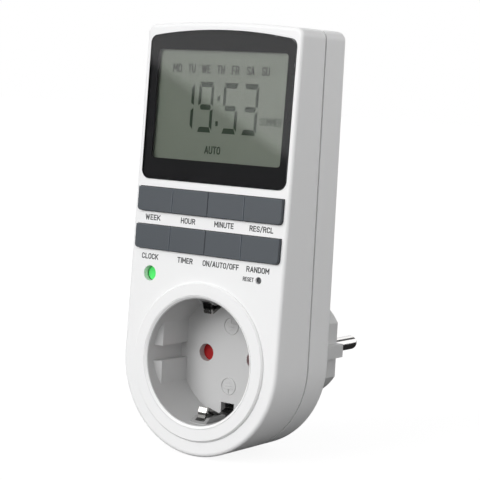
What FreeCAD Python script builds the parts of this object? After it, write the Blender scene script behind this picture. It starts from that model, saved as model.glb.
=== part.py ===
import FreeCAD, Part
import math
import os
import re
import Sketcher
from FreeCAD import Placement, Rotation, Vector

# Plug-in timer: a seven-day display timer that plugs into a wall socket and carries one of its own.
#
# The part's frame has +Z up, the front face towards -Y and the plug's pins towards +Y. Its origin lies
# midway between the pins, on the end face of the plug body, so the plug and the socket share the Y axis.
# Inside this file each piece is drawn from the front: depth runs back from the front face on the socket's
# axis, and z runs up from that axis. The front face leans back a little, so the display, the keys and
# their board are drawn in a frame that leans with it, where depth is square to the face.

# Driving sizes in millimetres, and degrees for the face's lean. A size that ends in gap, margin or inset
# is a clearance from the neighbour it is named after.
SIZES = {
    # Case
    "case_rim": 10.0,
    "case_top": 106.6,
    "front_depth": 17.3,
    "face_lean": 2.64,
    "crown_radius": 380.0,
    "case_corner": 3.0,
    "wall": 2.0,
    "front_edge": 1.2,
    "rear_edge": 2.5,
    "seam_gap": 0.8,
    "lap_depth": 2.0,
    "lap_wall": 0.9,
    "lap_root": 1.0,
    "fit_gap": 0.1,
    "slide_gap": 0.2,
    "clear_cut": 1.0,
    "front_reserve": 4.0,
    # Socket
    "well_radius": 20.0,
    "well_depth": 17.3,
    "cup_wall": 1.6,
    "cup_base": 2.5,
    "rim_wall": 1.1,
    "rim_bevel": 0.8,
    "ring_width": 4.1,
    "ring_height": 0.9,
    "ring_bevel": 0.5,
    "flange_gap": 0.3,
    "cup_flange": 1.2,
    "cup_neck": 4.0,
    "guide_rise": 2.7,
    "guide_gap": 2.5,
    "guide_reach": 10.2,
    "guide_ramp_start": 2.5,
    "guide_ramp_end": 4.0,
    "pocket_step": 0.25,
    "pin_spacing": 19.0,
    "pin_radius": 2.4,
    "pin_hole_gap": 0.45,
    "earth_window_half": 2.6,
    "earth_window_rise": 4.6,
    "clip_rail_half": 3.1,
    "clip_rail_rise": 1.9,
    "clip_rail_start": 0.3,
    "clip_rail_ramp": 3.5,
    "clip_rail_end": 13.0,
    "clip_slot_half": 1.8,
    "clip_slot_start": 2.4,
    # Display
    "window_margin": 1.9,
    "window_top_margin": 2.3,
    "window_key_gap": 2.6,
    "window_bow": 169.0,
    "window_low_corner": 3.0,
    "window_top_corner": 2.5,
    "window_thickness": 1.2,
    "window_proud": 0.3,
    "window_edge": 0.2,
    "border_side": 2.2,
    "border_low": 6.1,
    "border_top": 6.2,
    "view_corner": 1.5,
    "lcd_lap": 0.7,
    "lcd_ledge": 1.4,
    "lcd_thickness": 2.0,
    "lcd_step": 2.3,
    "backing_thickness": 0.3,
    "frame_wall": 0.9,
    "frame_ledge": 2.0,
    "connector_height": 1.8,
    "connector_inset": 2.6,
    # Keys, all in the leaning frame
    "key_margin": 2.0,
    "key_height": 7.7,
    "key_ring_gap": 8.6,
    "key_row_gap": 4.4,
    "key_gap": 0.12,
    "key_proud": 1.2,
    "key_corner": 1.2,
    "key_edge": 0.18,
    "key_lip": 0.8,
    "key_lip_thickness": 1.0,
    "key_stem": 0.7,
    "key_travel": 0.6,
    "switch_width": 6.0,
    "switch_height": 3.3,
    "switch_rise": 0.9,
    "plunger_radius": 1.7,
    "plunger_length": 2.4,
    "plunger_play": 0.08,
    "reset_inset": 9.3,
    "reset_key_gap": 5.7,
    "reset_radius": 1.0,
    "reset_play": 0.1,
    "reset_sunk": 0.9,
    "reset_flange": 2.2,
    "led_inset": 8.2,
    "led_key_gap": 7.9,
    "led_radius": 2.35,
    "led_sunk": 2.0,
    "led_flange_radius": 2.9,
    "led_flange": 1.2,
    "led_dome": 0.4,
    # Display board
    "board_thickness": 1.6,
    "board_side_gap": 1.0,
    "board_top_gap": 1.3,
    "board_foot": 14.3,
    "board_cup_gap": 1.9,
    "board_post_radius": 1.6,
    "board_post_x": 10.0,
    "post_key_gap": 5.2,
    "post_inset": 1.5,
    "small_screw_radius": 0.8,
    "small_screw_length": 5.0,
    "small_head_radius": 1.5,
    "small_head": 1.2,
    "chip_half": 5.0,
    "chip_thickness": 1.4,
    "chip_drop": 17.3,
    "crystal_radius": 1.0,
    "crystal_length": 6.0,
    "crystal_offset": 9.0,
    "crystal_drop": 0.5,
    "cell_radius": 6.2,
    "cell_thickness": 5.4,
    "cell_inset": 14.0,
    "cell_rise": 6.0,
    # Case screws
    "boss_side_gap": 1.4,
    "boss_low_gap": 0.7,
    "screw_radius": 1.25,
    "screw_length": 15.0,
    "screw_head_radius": 2.2,
    "screw_head": 1.6,
    "screw_slot": 0.6,
    "screw_slot_reach": 1.3,
    "screw_slot_share": 0.6,
    "boss_radius": 2.3,
    "boss_clear": 0.6,
    "pillar_radius": 3.2,
    "pillar_floor": 1.2,
    "head_recess": 6.0,
    # Power board and its parts
    "power_side_gap": 0.6,
    "power_well_gap": 14.0,
    "power_top_gap": 8.6,
    "power_standoff": 1.9,
    "power_post_radius": 2.2,
    "power_post_side": 3.5,
    "power_post_inset": 4.0,
    "link_half": 10.0,
    "link_gap": 1.1,
    "link_width": 2.5,
    "relay_width": 10.1,
    "relay_length": 29.0,
    "relay_inset": 5.2,
    "relay_rise": 2.95,
    "relay_gap": 1.5,
    "line_capacitor_width": 9.0,
    "line_capacitor_length": 18.0,
    "line_capacitor_inset": 6.5,
    "line_capacitor_step": 0.6,
    "smoothing_length": 11.0,
    "smoothing_drop": 9.0,
    "smoothing_step": 2.2,
    "varistor_x": 3.0,
    "varistor_rise": 6.0,
    "varistor_step": 1.0,
    "varistor_thickness": 3.6,
    "fuse_x": 8.5,
    "fuse_rise": 4.5,
    "fuse_radius": 1.8,
    "fuse_length": 9.0,
    # Plug
    "plug_length": 28.2,
    "plug_radius": 17.6,
    "plug_wall": 2.6,
    "plug_side_wall": 2.0,
    "plug_end_wall": 3.0,
    "plug_edge": 0.6,
    "plug_rib_half": 2.25,
    "plug_rib_rise": 2.5,
    "plug_rib_end": 0.4,
    "pin_length": 19.0,
    "pin_tip_radius": 1.9,
    "pin_shank_step": 0.15,
    "pin_boss_radius": 4.0,
    "pin_boss_length": 6.0,
    "pin_collar_radius": 3.4,
    "pin_collar": 1.5,
    "pin_stub_radius": 1.6,
    "pin_stub": 4.0,
    # Earth parts
    "strip_thickness": 0.8,
    "strip_sunk": 1.4,
    "strip_half": 2.5,
    "strip_short": 5.2,
    "clip_half": 1.5,
    "clip_rest_rise": 1.0,
    "clip_nose_rise": 5.1,
    "clip_nose_depth": 4.6,
    "clip_nose_flat": 0.4,
    "clip_nose_round": 0.5,
    "clip_tail_rise": 1.7,
    "clip_tail_depth": 3.2,
    "clip_shoulder_gap": 3.5,
    "clip_turn_gap": 1.7,
    "clip_tail_turn": 0.2,
    "clip_nose_turn": 1.3,
    "clip_nose_turn_back": 0.2,
    "clip_strip_turn": 0.25,
    "yoke_gap": 1.3,
    "yoke_tab": 3.0,
    # Contacts, carrier and shutter
    "shutter_room": 3.5,
    "shutter_gap": 0.3,
    "shutter_back_gap": 0.4,
    "shutter_arm_half": 2.4,
    "shutter_pad_radius": 3.3,
    "carrier_height": 11.5,
    "carrier_wall": 1.2,
    "carrier_gap": 0.4,
    "carrier_plate": 2.0,
    "contact_play": 0.05,
    "contact_wall": 0.55,
    "contact_set_back": 0.3,
    "contact_spare": 0.7,
    "contact_end": 1.0,
    "contact_collar_radius": 3.9,
    "contact_collar": 0.8,
    "contact_slit": 0.7,
    "lug_offset": 2.7,
    "lug_half": 1.1,
    "lug_top": 7.0,
    "link_bar_half": 1.4,
    "link_bar_thickness": 1.0,
    "hub_radius": 3.6,
    "hub_post_radius": 1.5,
    "hub_play": 0.05,
    "spring_outer": 2.6,
    "spring_inner": 1.8,
    "spring_length": 1.8,
    "spring_recess_radius": 2.8,
    # Leads
    "lead_room": 3.2,
    "lead_radius": 0.9,
    "lead_bend": 2.0,
    "live_lead_drop": 3.0,
    "live_lead_rise": 7.5,
}

# Sizes that follow from the driving ones
DERIVED = {
    # The socket, and the case about it
    "half_width": "well_radius + case_rim",
    "cup_back": "well_depth + cup_base",
    "carrier_depth": "cup_back + shutter_room",
    "case_depth": "carrier_depth + carrier_plate + lead_room + wall",
    "plug_end": "case_depth + plug_length",
    "face_y": "-plug_end",
    "rim_radius": "well_radius + rim_wall",
    "ring_radius": "rim_radius + ring_width",
    "guide_flat": "well_radius - guide_rise",
    "earth_window_low": "well_radius - earth_window_rise",
    "clip_rail_top": "well_radius - clip_rail_rise",
    "clip_rest": "well_radius - clip_rest_rise",
    "clip_nose": "well_radius - clip_nose_rise",
    "clip_tail": "well_radius - clip_tail_rise",
    "clip_shoulder_depth": "well_depth - clip_shoulder_gap",
    "clip_turn_depth": "cup_back + clip_turn_gap",
    "pin_x": "pin_spacing / 2",
    "pin_hole_radius": "pin_radius + pin_hole_gap",
    # The case screws
    "screw_x": "half_width - wall - boss_radius - boss_side_gap",
    "screw_low_radius": "half_width - wall - boss_radius - boss_low_gap",
    "screw_low": "screw_low_radius * sin(45 deg)",
    "cup_flange_radius": "screw_low_radius - boss_radius - flange_gap",
    # The keys and the display, from the ring upwards
    "key_row_half": "half_width - key_margin",
    "key_pitch": "key_row_half / 2",
    "lower_row_low": "ring_radius + key_ring_gap",
    "upper_row_low": "lower_row_low + key_height + key_row_gap",
    "reset_x": "half_width - reset_inset",
    "reset_z": "lower_row_low - reset_key_gap",
    "led_x": "half_width - led_inset",
    "led_z": "lower_row_low - led_key_gap",
    "screw_high": "upper_row_low + key_height + key_lip + slide_gap + boss_radius",
    "window_low": "upper_row_low + key_height + window_key_gap",
    "window_top": "case_top - window_top_margin",
    "window_half": "half_width - window_margin",
    "view_half": "window_half - border_side",
    "view_low": "window_low + border_low",
    "view_top": "window_top - border_top",
    "lcd_half": "view_half + lcd_lap",
    "lcd_low": "view_low - lcd_ledge",
    "lcd_top": "view_top + lcd_lap",
    "connector_half": "lcd_half - connector_inset",
    # The display board and what it carries
    "plunger_front": "wall + fit_gap + key_lip_thickness + key_stem",
    "switch_bore": "plunger_length - switch_rise + key_travel + fit_gap",
    "board_depth": "plunger_front + switch_rise + switch_height",
    "board_half": "half_width - wall - board_side_gap",
    "board_low": "lower_row_low - board_foot",
    "board_top": "case_top - wall - board_top_gap",
    "post_low": "lower_row_low - post_key_gap",
    "post_high": "board_top - post_inset",
    "chip_z": "board_top - chip_drop",
    "crystal_x": "chip_half + crystal_offset",
    "crystal_z": "chip_z - chip_half - crystal_drop",
    # The power board and what it carries
    "power_back": "case_depth - wall - power_standoff",
    "power_front": "power_back - board_thickness",
    "power_half": "screw_x - pillar_radius - power_side_gap",
    "power_low": "well_radius + power_well_gap",
    "power_top": "case_top - wall - power_top_gap",
    "power_post_x": "power_half - power_post_side",
    "cell_x": "board_half - cell_inset",
    "cell_z": "power_low + cell_rise",
    "link_z": "cell_z + cell_radius + link_gap",
    "relay_x": "power_half - relay_inset - relay_width / 2",
    "relay_z": "link_z + link_width / 2 + relay_rise + relay_length / 2",
    "board_back": "(board_depth + board_thickness) / cos(face_lean * 1 deg)",
    "relay_front": "board_back + (relay_z + relay_length / 2) * tan(face_lean * 1 deg) + relay_gap",
    "relay_height": "power_front - relay_front",
    "line_capacitor_x": "power_half - line_capacitor_inset - line_capacitor_width / 2",
    "line_capacitor_height": "relay_height - line_capacitor_step",
    "smoothing_z": "power_top - smoothing_drop",
    "smoothing_radius": "(relay_height - smoothing_step) / 2",
    "varistor_z": "power_low + varistor_rise",
    "varistor_radius": "(relay_height - varistor_step) / 2",
    "fuse_z": "power_low + fuse_rise",
    # The plug, the contacts and the leads
    "plug_flat": "pin_x + pin_collar_radius + fit_gap + plug_side_wall",
    "plug_rib_reach": "plug_flat + plug_rib_rise",
    "strip_radius": "plug_radius - strip_sunk",
    "pin_shank_radius": "pin_radius + pin_shank_step",
    "pin_inner_end": "plug_end - plug_end_wall - pin_boss_length - pin_collar - pin_stub",
    "carrier_half": "pin_x + contact_collar_radius + carrier_gap + carrier_wall",
    "contact_seat": "carrier_depth + carrier_plate + fit_gap",
    "contact_bore": "pin_radius + contact_play",
    "contact_front": "carrier_depth + contact_set_back",
    "contact_rear": "well_depth + pin_length + contact_spare + contact_end",
    "shutter_back": "carrier_depth - shutter_back_gap",
    "shutter_thickness": "shutter_room - shutter_gap - shutter_back_gap",
    "yoke_depth": "carrier_depth + carrier_plate + yoke_gap",
    "lead_depth": "contact_seat + lead_radius",
}

doc = FreeCAD.newDocument("PlugInTimer")
sheet = doc.addObject("Spreadsheet::Sheet", "Sizes")
for row, (alias, value) in enumerate(SIZES.items(), start=1):
    sheet.set(f"A{row}", alias.replace("_", " "))
    sheet.set(f"B{row}", str(value))
    sheet.setAlias(f"B{row}", alias)
for row, (alias, formula) in enumerate(DERIVED.items(), start=1):
    sheet.set(f"D{row}", alias.replace("_", " "))
    sheet.set(f"E{row}", "=" + formula)
    sheet.setAlias(f"E{row}", alias)
doc.recompute()

pieces = []
cuts = []


def bound(expression):
    """The expression with each size's name led to its cell in the sheet."""
    def cell(match):
        word = match.group()
        return "Sizes." + word if word in SIZES or word in DERIVED else word
    return re.sub(r"[a-z_]+", cell, expression)


def number(expression):
    """The value of an expression in the sheet's names."""
    result = sheet.evalExpression(bound(expression))
    return float(getattr(result, "Value", result))


def bind(thing, path, expression):
    """Tie one property of a document object to an expression in the sheet's names."""
    thing.setExpression(path, bound(expression))


def new_part(name, leaning=False, x="0", y="face_y"):
    """A body whose origin is on the socket's axis at the front face, level or leaning with that face."""
    part = doc.addObject("PartDesign::Body", name)
    part.Label = name
    lean = Rotation(Vector(-1, 0, 0), number("face_lean")) if leaning else Rotation()
    part.Placement = Placement(Vector(number(x), number(y), 0), lean)
    if x != "0":
        bind(part, "Placement.Base.x", x)
    if y != "0":
        bind(part, "Placement.Base.y", y)
    if leaning:
        bind(part, "Placement.Rotation.Angle", "face_lean * 1 deg")
    pieces.append(part)
    return part


def plane_of(part, role):
    """One of the body's own origin planes."""
    return next(f for f in part.Origin.OriginFeatures if f.Role == role)


def front_sketch(part, depth, leaning=False):
    """A sketch seen from the front, x right and z up, at a depth measured level or square to the face."""
    sk = part.newObject("Sketcher::SketchObject", "Front")
    sk.AttachmentSupport = [(plane_of(part, "XZ_Plane"), "")]
    sk.MapMode = "FlatFace"
    if leaning:
        lean = Rotation(Vector(-1, 0, 0), number("face_lean"))
        sk.AttachmentOffset = Placement(Vector(0, 0, 0), lean)
        bind(sk, "AttachmentOffset.Rotation.Angle", "face_lean * 1 deg")
        bind(sk, "AttachmentOffset.Base.y", f"-({depth}) * sin(face_lean * 1 deg)")
        bind(sk, "AttachmentOffset.Base.z", f"-({depth}) * cos(face_lean * 1 deg)")
    else:
        bind(sk, "AttachmentOffset.Base.z", f"-({depth})")
    return sk


def side_sketch(part, x="0"):
    """A sketch seen from the right, depth along and z up, at a place across the case."""
    sk = part.newObject("Sketcher::SketchObject", "Side")
    sk.AttachmentSupport = [(plane_of(part, "YZ_Plane"), "")]
    sk.MapMode = "FlatFace"
    bind(sk, "AttachmentOffset.Base.z", x)
    return sk


def top_sketch(part, z="0"):
    """A sketch seen from above, x right and depth up the page, at a height."""
    sk = part.newObject("Sketcher::SketchObject", "Top")
    sk.AttachmentSupport = [(plane_of(part, "XY_Plane"), "")]
    sk.MapMode = "FlatFace"
    bind(sk, "AttachmentOffset.Base.z", z)
    return sk


def hold(sk, constraint, expression):
    """Add a constraint whose value follows an expression."""
    index = sk.addConstraint(constraint)
    name = f"size_{index}"
    sk.renameConstraint(index, name)
    bind(sk, f"Constraints.{name}", expression)


def place(sk, shape, point, x=None, y=None):
    """Hold one point of a shape at a distance across and up from the sketch's origin."""
    for axis, expression, line in (("DistanceX", x, -2), ("DistanceY", y, -1)):
        if expression == "0":
            sk.addConstraint(Sketcher.Constraint("PointOnObject", shape, point, line))
        elif expression is not None:
            value = number(expression)
            hold(sk, Sketcher.Constraint(axis, -1, 1, shape, point, value), expression)


def polygon(sk, points):
    """A closed outline through points given as pairs of expressions."""
    corners = [Vector(number(x), number(y), 0) for x, y in points]
    first = None
    for i, corner in enumerate(corners):
        line = sk.addGeometry(Part.LineSegment(corner, corners[(i + 1) % len(corners)]), False)
        first = line if first is None else first
        if i:
            sk.addConstraint(Sketcher.Constraint("Coincident", line - 1, 2, line, 1))
        place(sk, line, 1, *points[i])
    sk.addConstraint(Sketcher.Constraint("Coincident", line, 2, first, 1))


def rectangle(sk, left, right, low, high):
    """A plain rectangle between two pairs of expressions."""
    polygon(sk, [(left, low), (right, low), (right, high), (left, high)])


def circle(sk, radius, x="0", y="0"):
    """A circle about a centre."""
    centre = Vector(number(x), number(y), 0)
    ring = sk.addGeometry(Part.Circle(centre, Vector(0, 0, 1), number(radius)), False)
    place(sk, ring, 3, x, y)
    hold(sk, Sketcher.Constraint("Radius", ring, number(radius)), radius)


def arc(sk, centre, radius, start, end):
    """An arc from its start to its end angle, anticlockwise, in radians."""
    round_edge = Part.Circle(centre, Vector(0, 0, 1), radius)
    return sk.addGeometry(Part.ArcOfCircle(round_edge, start, end), False)


def line(sk, start, end):
    """A straight edge."""
    return sk.addGeometry(Part.LineSegment(start, end), False)


def join_smoothly(sk, edges):
    """Make each edge run smoothly into the next, and the last into the first."""
    for edge, following in zip(edges, edges[1:] + edges[:1]):
        sk.addConstraint(Sketcher.Constraint("Tangent", edge, 2, following, 1))


def bowed_outline(sk, half, top, bow, corner, low=None, low_corner=None):
    """An upright outline with a shallow arch for its top edge.

    Its foot is a straight edge with rounded corners, or, with no low, a half circle about the origin.
    """
    w, t, b, c = (number(e) for e in (half, top, bow, corner))
    arch_y = t - b
    corner_x = w - c
    corner_y = arch_y + math.sqrt((b - c) ** 2 - corner_x ** 2)
    lean = math.atan2(corner_y - arch_y, corner_x)
    if low is None:
        foot = [arc(sk, Vector(0, 0, 0), w, math.pi, 2 * math.pi)]
        side_low = 0.0
        last = []
    else:
        l, r = number(low), number(low_corner)
        side_low = l + r
        foot = [line(sk, Vector(r - w, l, 0), Vector(w - r, l, 0)),
                arc(sk, Vector(w - r, side_low, 0), r, -math.pi / 2, 0)]
        last = [None]
    right = line(sk, Vector(w, side_low, 0), Vector(w, corner_y, 0))
    right_corner = arc(sk, Vector(corner_x, corner_y, 0), c, 0, lean)
    arch = arc(sk, Vector(0, arch_y, 0), b, lean, math.pi - lean)
    left_corner = arc(sk, Vector(-corner_x, corner_y, 0), c, math.pi - lean, math.pi)
    left = line(sk, Vector(-w, corner_y, 0), Vector(-w, side_low, 0))
    edges = foot + [right, right_corner, arch, left_corner, left]
    if last:
        edges.append(arc(sk, Vector(r - w, side_low, 0), r, math.pi, 1.5 * math.pi))
    join_smoothly(sk, edges)
    if low is None:
        place(sk, foot[0], 3, "0", "0")
        hold(sk, Sketcher.Constraint("Radius", foot[0], w), half)
    else:
        sk.addConstraint(Sketcher.Constraint("Horizontal", foot[0]))
        place(sk, foot[0], 1, None, low)
        hold(sk, Sketcher.Constraint("Radius", foot[1], r), low_corner)
        hold(sk, Sketcher.Constraint("Radius", edges[-1], r), low_corner)
        place(sk, right, 1, half, None)
        place(sk, left, 1, f"-({half})", None)
    sk.addConstraint(Sketcher.Constraint("Vertical", right))
    sk.addConstraint(Sketcher.Constraint("Vertical", left))
    hold(sk, Sketcher.Constraint("Radius", right_corner, c), corner)
    hold(sk, Sketcher.Constraint("Radius", left_corner, c), corner)
    hold(sk, Sketcher.Constraint("Radius", arch, b), bow)
    place(sk, arch, 3, "0", f"{top} - ({bow})")


def case_outline(sk, inset="0"):
    """The outline that both covers share, or one set in from it by a wall."""
    bowed_outline(sk, f"half_width - {inset}", f"case_top - {inset}", f"crown_radius - {inset}",
                  f"case_corner - {inset}")


def flattened_circle(sk, radius, flat):
    """A circle with a flat cut on its left and right."""
    r, f = number(radius), number(flat)
    turn = math.acos(f / r)
    rise = r * math.sin(turn)
    centre = Vector(0, 0, 0)
    top = arc(sk, centre, r, turn, math.pi - turn)
    left = line(sk, Vector(-f, rise, 0), Vector(-f, -rise, 0))
    bottom = arc(sk, centre, r, math.pi + turn, 2 * math.pi - turn)
    right = line(sk, Vector(f, -rise, 0), Vector(f, rise, 0))
    edges = [top, left, bottom, right]
    for edge, following in zip(edges, edges[1:] + edges[:1]):
        sk.addConstraint(Sketcher.Constraint("Coincident", edge, 2, following, 1))
    for ring in (top, bottom):
        place(sk, ring, 3, "0", "0")
        hold(sk, Sketcher.Constraint("Radius", ring, r), radius)
    for side, expression in ((left, f"-({flat})"), (right, flat)):
        sk.addConstraint(Sketcher.Constraint("Vertical", side))
        place(sk, side, 1, expression, None)


def bent_path(sk, corners, bend):
    """An open path through corners given as expressions, its runs level and upright by turns.

    Each corner between two runs is a quarter bend that runs smoothly into both.
    """
    points = [Vector(number(x), number(y), 0) for x, y in corners]
    radius = number(bend)
    start = points[0]
    joint = None
    for run, corner in enumerate(points[1:]):
        upright = run % 2 == 1
        following = points[run + 2] if run + 2 < len(points) else None
        back = (points[run] - corner).normalize()
        straight = line(sk, start, corner + back * radius if following else corner)
        sk.addConstraint(Sketcher.Constraint("Vertical" if upright else "Horizontal", straight))
        x, y = corners[run]
        place(sk, straight, 1, x if upright or run == 0 else None, None if upright else y)
        if joint:
            sk.addConstraint(Sketcher.Constraint("Tangent", *joint, straight, 1))
        if following:
            on = (following - corner).normalize()
            middle = corner + (back + on) * radius - (back + on).normalize() * radius
            start = corner + on * radius
            turn = sk.addGeometry(Part.Arc(corner + back * radius, middle, start), False)
            near_end, far_end = (1, 2) if back.cross(on).z < 0 else (2, 1)
            sk.addConstraint(Sketcher.Constraint("Tangent", straight, 2, turn, near_end))
            hold(sk, Sketcher.Constraint("Radius", turn, radius), bend)
            joint = (turn, far_end)
    place(sk, straight, 2, None, corners[-1][1])


def pad(part, sk, length, rearward=False, both=False):
    """Material from a sketch: forwards from a front sketch, or rearwards, or half to each side."""
    feature = part.newObject("PartDesign::Pad", "Pad")
    feature.Profile = sk
    feature.SideType = "Symmetric" if both else "One side"
    feature.Reversed = rearward
    bind(feature, "Length", length)
    return feature


def cut(part, sk, length=None, forward=False, both=False):
    """A pocket from a sketch, rearwards from a front sketch or forwards; with no length, right through."""
    feature = part.newObject("PartDesign::Pocket", "Pocket")
    feature.Profile = sk
    feature.SideType = "Symmetric" if both else "One side"
    feature.Reversed = forward
    if length is None:
        feature.Type = "ThroughAll"
    else:
        bind(feature, "Length", length)
    cuts.append((part, feature))
    return feature


def turn_profile(part, sk):
    """A solid of revolution about the depth axis, from a profile seen from above."""
    feature = part.newObject("PartDesign::Revolution", "Turned")
    feature.Profile = sk
    feature.ReferenceAxis = (sk, ["V_Axis"])
    feature.Angle = 360.0
    return feature


def edges_where(part, test):
    """The names of the edges of the part so far whose sampled points all pass a test."""
    doc.recompute()
    names = []
    for i, edge in enumerate(part.Tip.Shape.Edges, start=1):
        first, last = edge.ParameterRange
        samples = [edge.valueAt(first + (last - first) * share) for share in (0.0, 0.3, 0.7, 1.0)]
        if all(test(p) for p in samples):
            names.append(f"Edge{i}")
    return names


def round_edges(part, radius, test):
    """Round the edges that pass a test."""
    names = edges_where(part, test)
    feature = part.newObject("PartDesign::Fillet", "Fillet")
    feature.Base = (feature.BaseFeature, names)
    bind(feature, "Radius", radius)
    return feature


def bevel_edges(part, size, test):
    """Bevel the edges that pass a test."""
    names = edges_where(part, test)
    feature = part.newObject("PartDesign::Chamfer", "Chamfer")
    feature.Base = (feature.BaseFeature, names)
    bind(feature, "Size", size)
    return feature


def near(value, expression):
    """Whether a coordinate equals an expression's value."""
    return abs(value - number(expression)) < 1e-4


def face_depth(point):
    """How far a point of a level part lies behind the leaning front face, square to it."""
    lean = math.radians(number("face_lean"))
    return point.y * math.cos(lean) - point.z * math.sin(lean)


def face_height(point):
    """How far up the leaning front face a point of a level part lies, from the socket's axis."""
    lean = math.radians(number("face_lean"))
    return point.y * math.sin(lean) + point.z * math.cos(lean)


def at_corner(point, across, height):
    """Whether a point of a level part lies on a corner line that runs square to the leaning face."""
    return near(abs(point.x), across) and near(face_height(point), height)


def radius_of(point):
    """A point's distance from the socket's axis."""
    return math.hypot(point.x, point.z)


def box_part(name, left, right, near_side, far_side, low, high, leaning=False):
    """A plain moulded block, given by its limits across, in depth and in height."""
    part = new_part(name, leaning)
    base = front_sketch(part, far_side)
    rectangle(base, left, right, low, high)
    pad(part, base, f"({far_side}) - ({near_side})")
    return part


SIDES = ("-", "")
SCREW_PLACES = [(f"{side}{x}", z) for x, z in (("screw_x", "screw_high"), ("screw_low", "-screw_low"))
                for side in SIDES]
POST_HEIGHTS = ("post_low", "screw_high", "post_high")
POST_PLACES = [(f"{side}board_post_x", z) for z in POST_HEIGHTS for side in SIDES]
POWER_HEIGHTS = ("power_low + power_post_inset", "power_top - power_post_inset")
POWER_POSTS = [(f"{side}power_post_x", z) for z in POWER_HEIGHTS for side in SIDES]
KEY_ROWS = {"upper": "upper_row_low", "lower": "lower_row_low"}
KEYS = [(row, column) for row in KEY_ROWS for column in range(4)]


def window_outline(sk, grow="0"):
    """The display window's outline, or one grown by a gap."""
    bowed_outline(sk, f"window_half + {grow}", f"window_top + {grow}", f"window_bow + {grow}",
                  f"window_top_corner + {grow}", f"window_low - {grow}", f"window_low_corner + {grow}")


def front_cover():
    """The front shell: a leaning face wall inside a straight rim, with bosses and posts behind the face."""
    part = new_part("front_cover")
    block = front_sketch(part, "front_depth")
    case_outline(block)
    pad(part, block, "front_depth + front_reserve")
    behind = front_sketch(part, "wall", leaning=True)
    rectangle(behind, "-2 * half_width", "2 * half_width", "-2 * half_width", "2 * case_top")
    cut(part, behind)
    rim = front_sketch(part, "front_depth")
    case_outline(rim)
    case_outline(rim, "wall")
    pad(part, rim, "front_depth + front_reserve")
    bosses = front_sketch(part, "front_depth")
    for x, z in SCREW_PLACES:
        circle(bosses, "boss_radius", x, z)
    pad(part, bosses, "front_depth + front_reserve")
    before = front_sketch(part, "0", leaning=True)
    rectangle(before, "-2 * half_width", "2 * half_width", "-2 * half_width", "2 * case_top")
    cut(part, before, forward=True)
    round_edges(part, "front_edge", lambda p: abs(face_depth(p)) < 1e-4)
    posts = front_sketch(part, "board_depth", leaning=True)
    for x, z in POST_PLACES:
        circle(posts, "board_post_radius", x, z)
    pad(part, posts, "board_depth - wall / 2")
    ring = front_sketch(part, "wall / 2", leaning=True)
    circle(ring, "ring_radius")
    pad(part, ring, "wall / 2 + ring_height")
    bevel_edges(part, "ring_bevel", lambda p: abs(face_depth(p) + number("ring_height")) < 1e-4)
    mouth = front_sketch(part, "-front_reserve")
    circle(mouth, "rim_radius")
    cut(part, mouth, "front_reserve + front_depth")
    seat = front_sketch(part, "0", leaning=True)
    window_outline(seat, "fit_gap")
    cut(part, seat, "window_thickness - window_proud")
    view = front_sketch(part, "0", leaning=True)
    rectangle(view, "-view_half", "view_half", "view_low", "view_top")
    cut(part, view, "wall + clear_cut")
    round_edges(part, "view_corner",
                lambda p: at_corner(p, "view_half", "view_low") or at_corner(p, "view_half", "view_top"))
    for low in KEY_ROWS.values():
        opening = front_sketch(part, "0", leaning=True)
        rectangle(opening, "-key_row_half - slide_gap", "key_row_half + slide_gap",
                  f"{low} - slide_gap", f"{low} + key_height + slide_gap")
        cut(part, opening, "wall + clear_cut")
        round_edges(part, "key_corner + slide_gap",
                    lambda p: at_corner(p, "key_row_half + slide_gap", f"{low} - slide_gap"))
    small_holes = front_sketch(part, "0", leaning=True)
    circle(small_holes, "reset_radius + reset_play", "reset_x", "reset_z")
    circle(small_holes, "led_radius + fit_gap", "-led_x", "led_z")
    cut(part, small_holes, "wall + clear_cut")
    pilots = front_sketch(part, "front_depth")
    for x, z in SCREW_PLACES:
        circle(pilots, "screw_radius + fit_gap / 2", x, z)
    cut(part, pilots, "screw_length - (case_depth - head_recess - front_depth) + fit_gap", forward=True)
    post_holes = front_sketch(part, "board_depth", leaning=True)
    for x, z in POST_PLACES:
        circle(post_holes, "small_screw_radius + fit_gap / 2", x, z)
    cut(part, post_holes, "small_screw_length - board_thickness + fit_gap", forward=True)
    lap = front_sketch(part, "front_depth")
    case_outline(lap, "(wall - lap_wall - fit_gap)")
    for x, z in SCREW_PLACES:
        circle(lap, "boss_radius + fit_gap", x, z)
    cut(part, lap, "lap_depth", forward=True)
    return part


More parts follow.
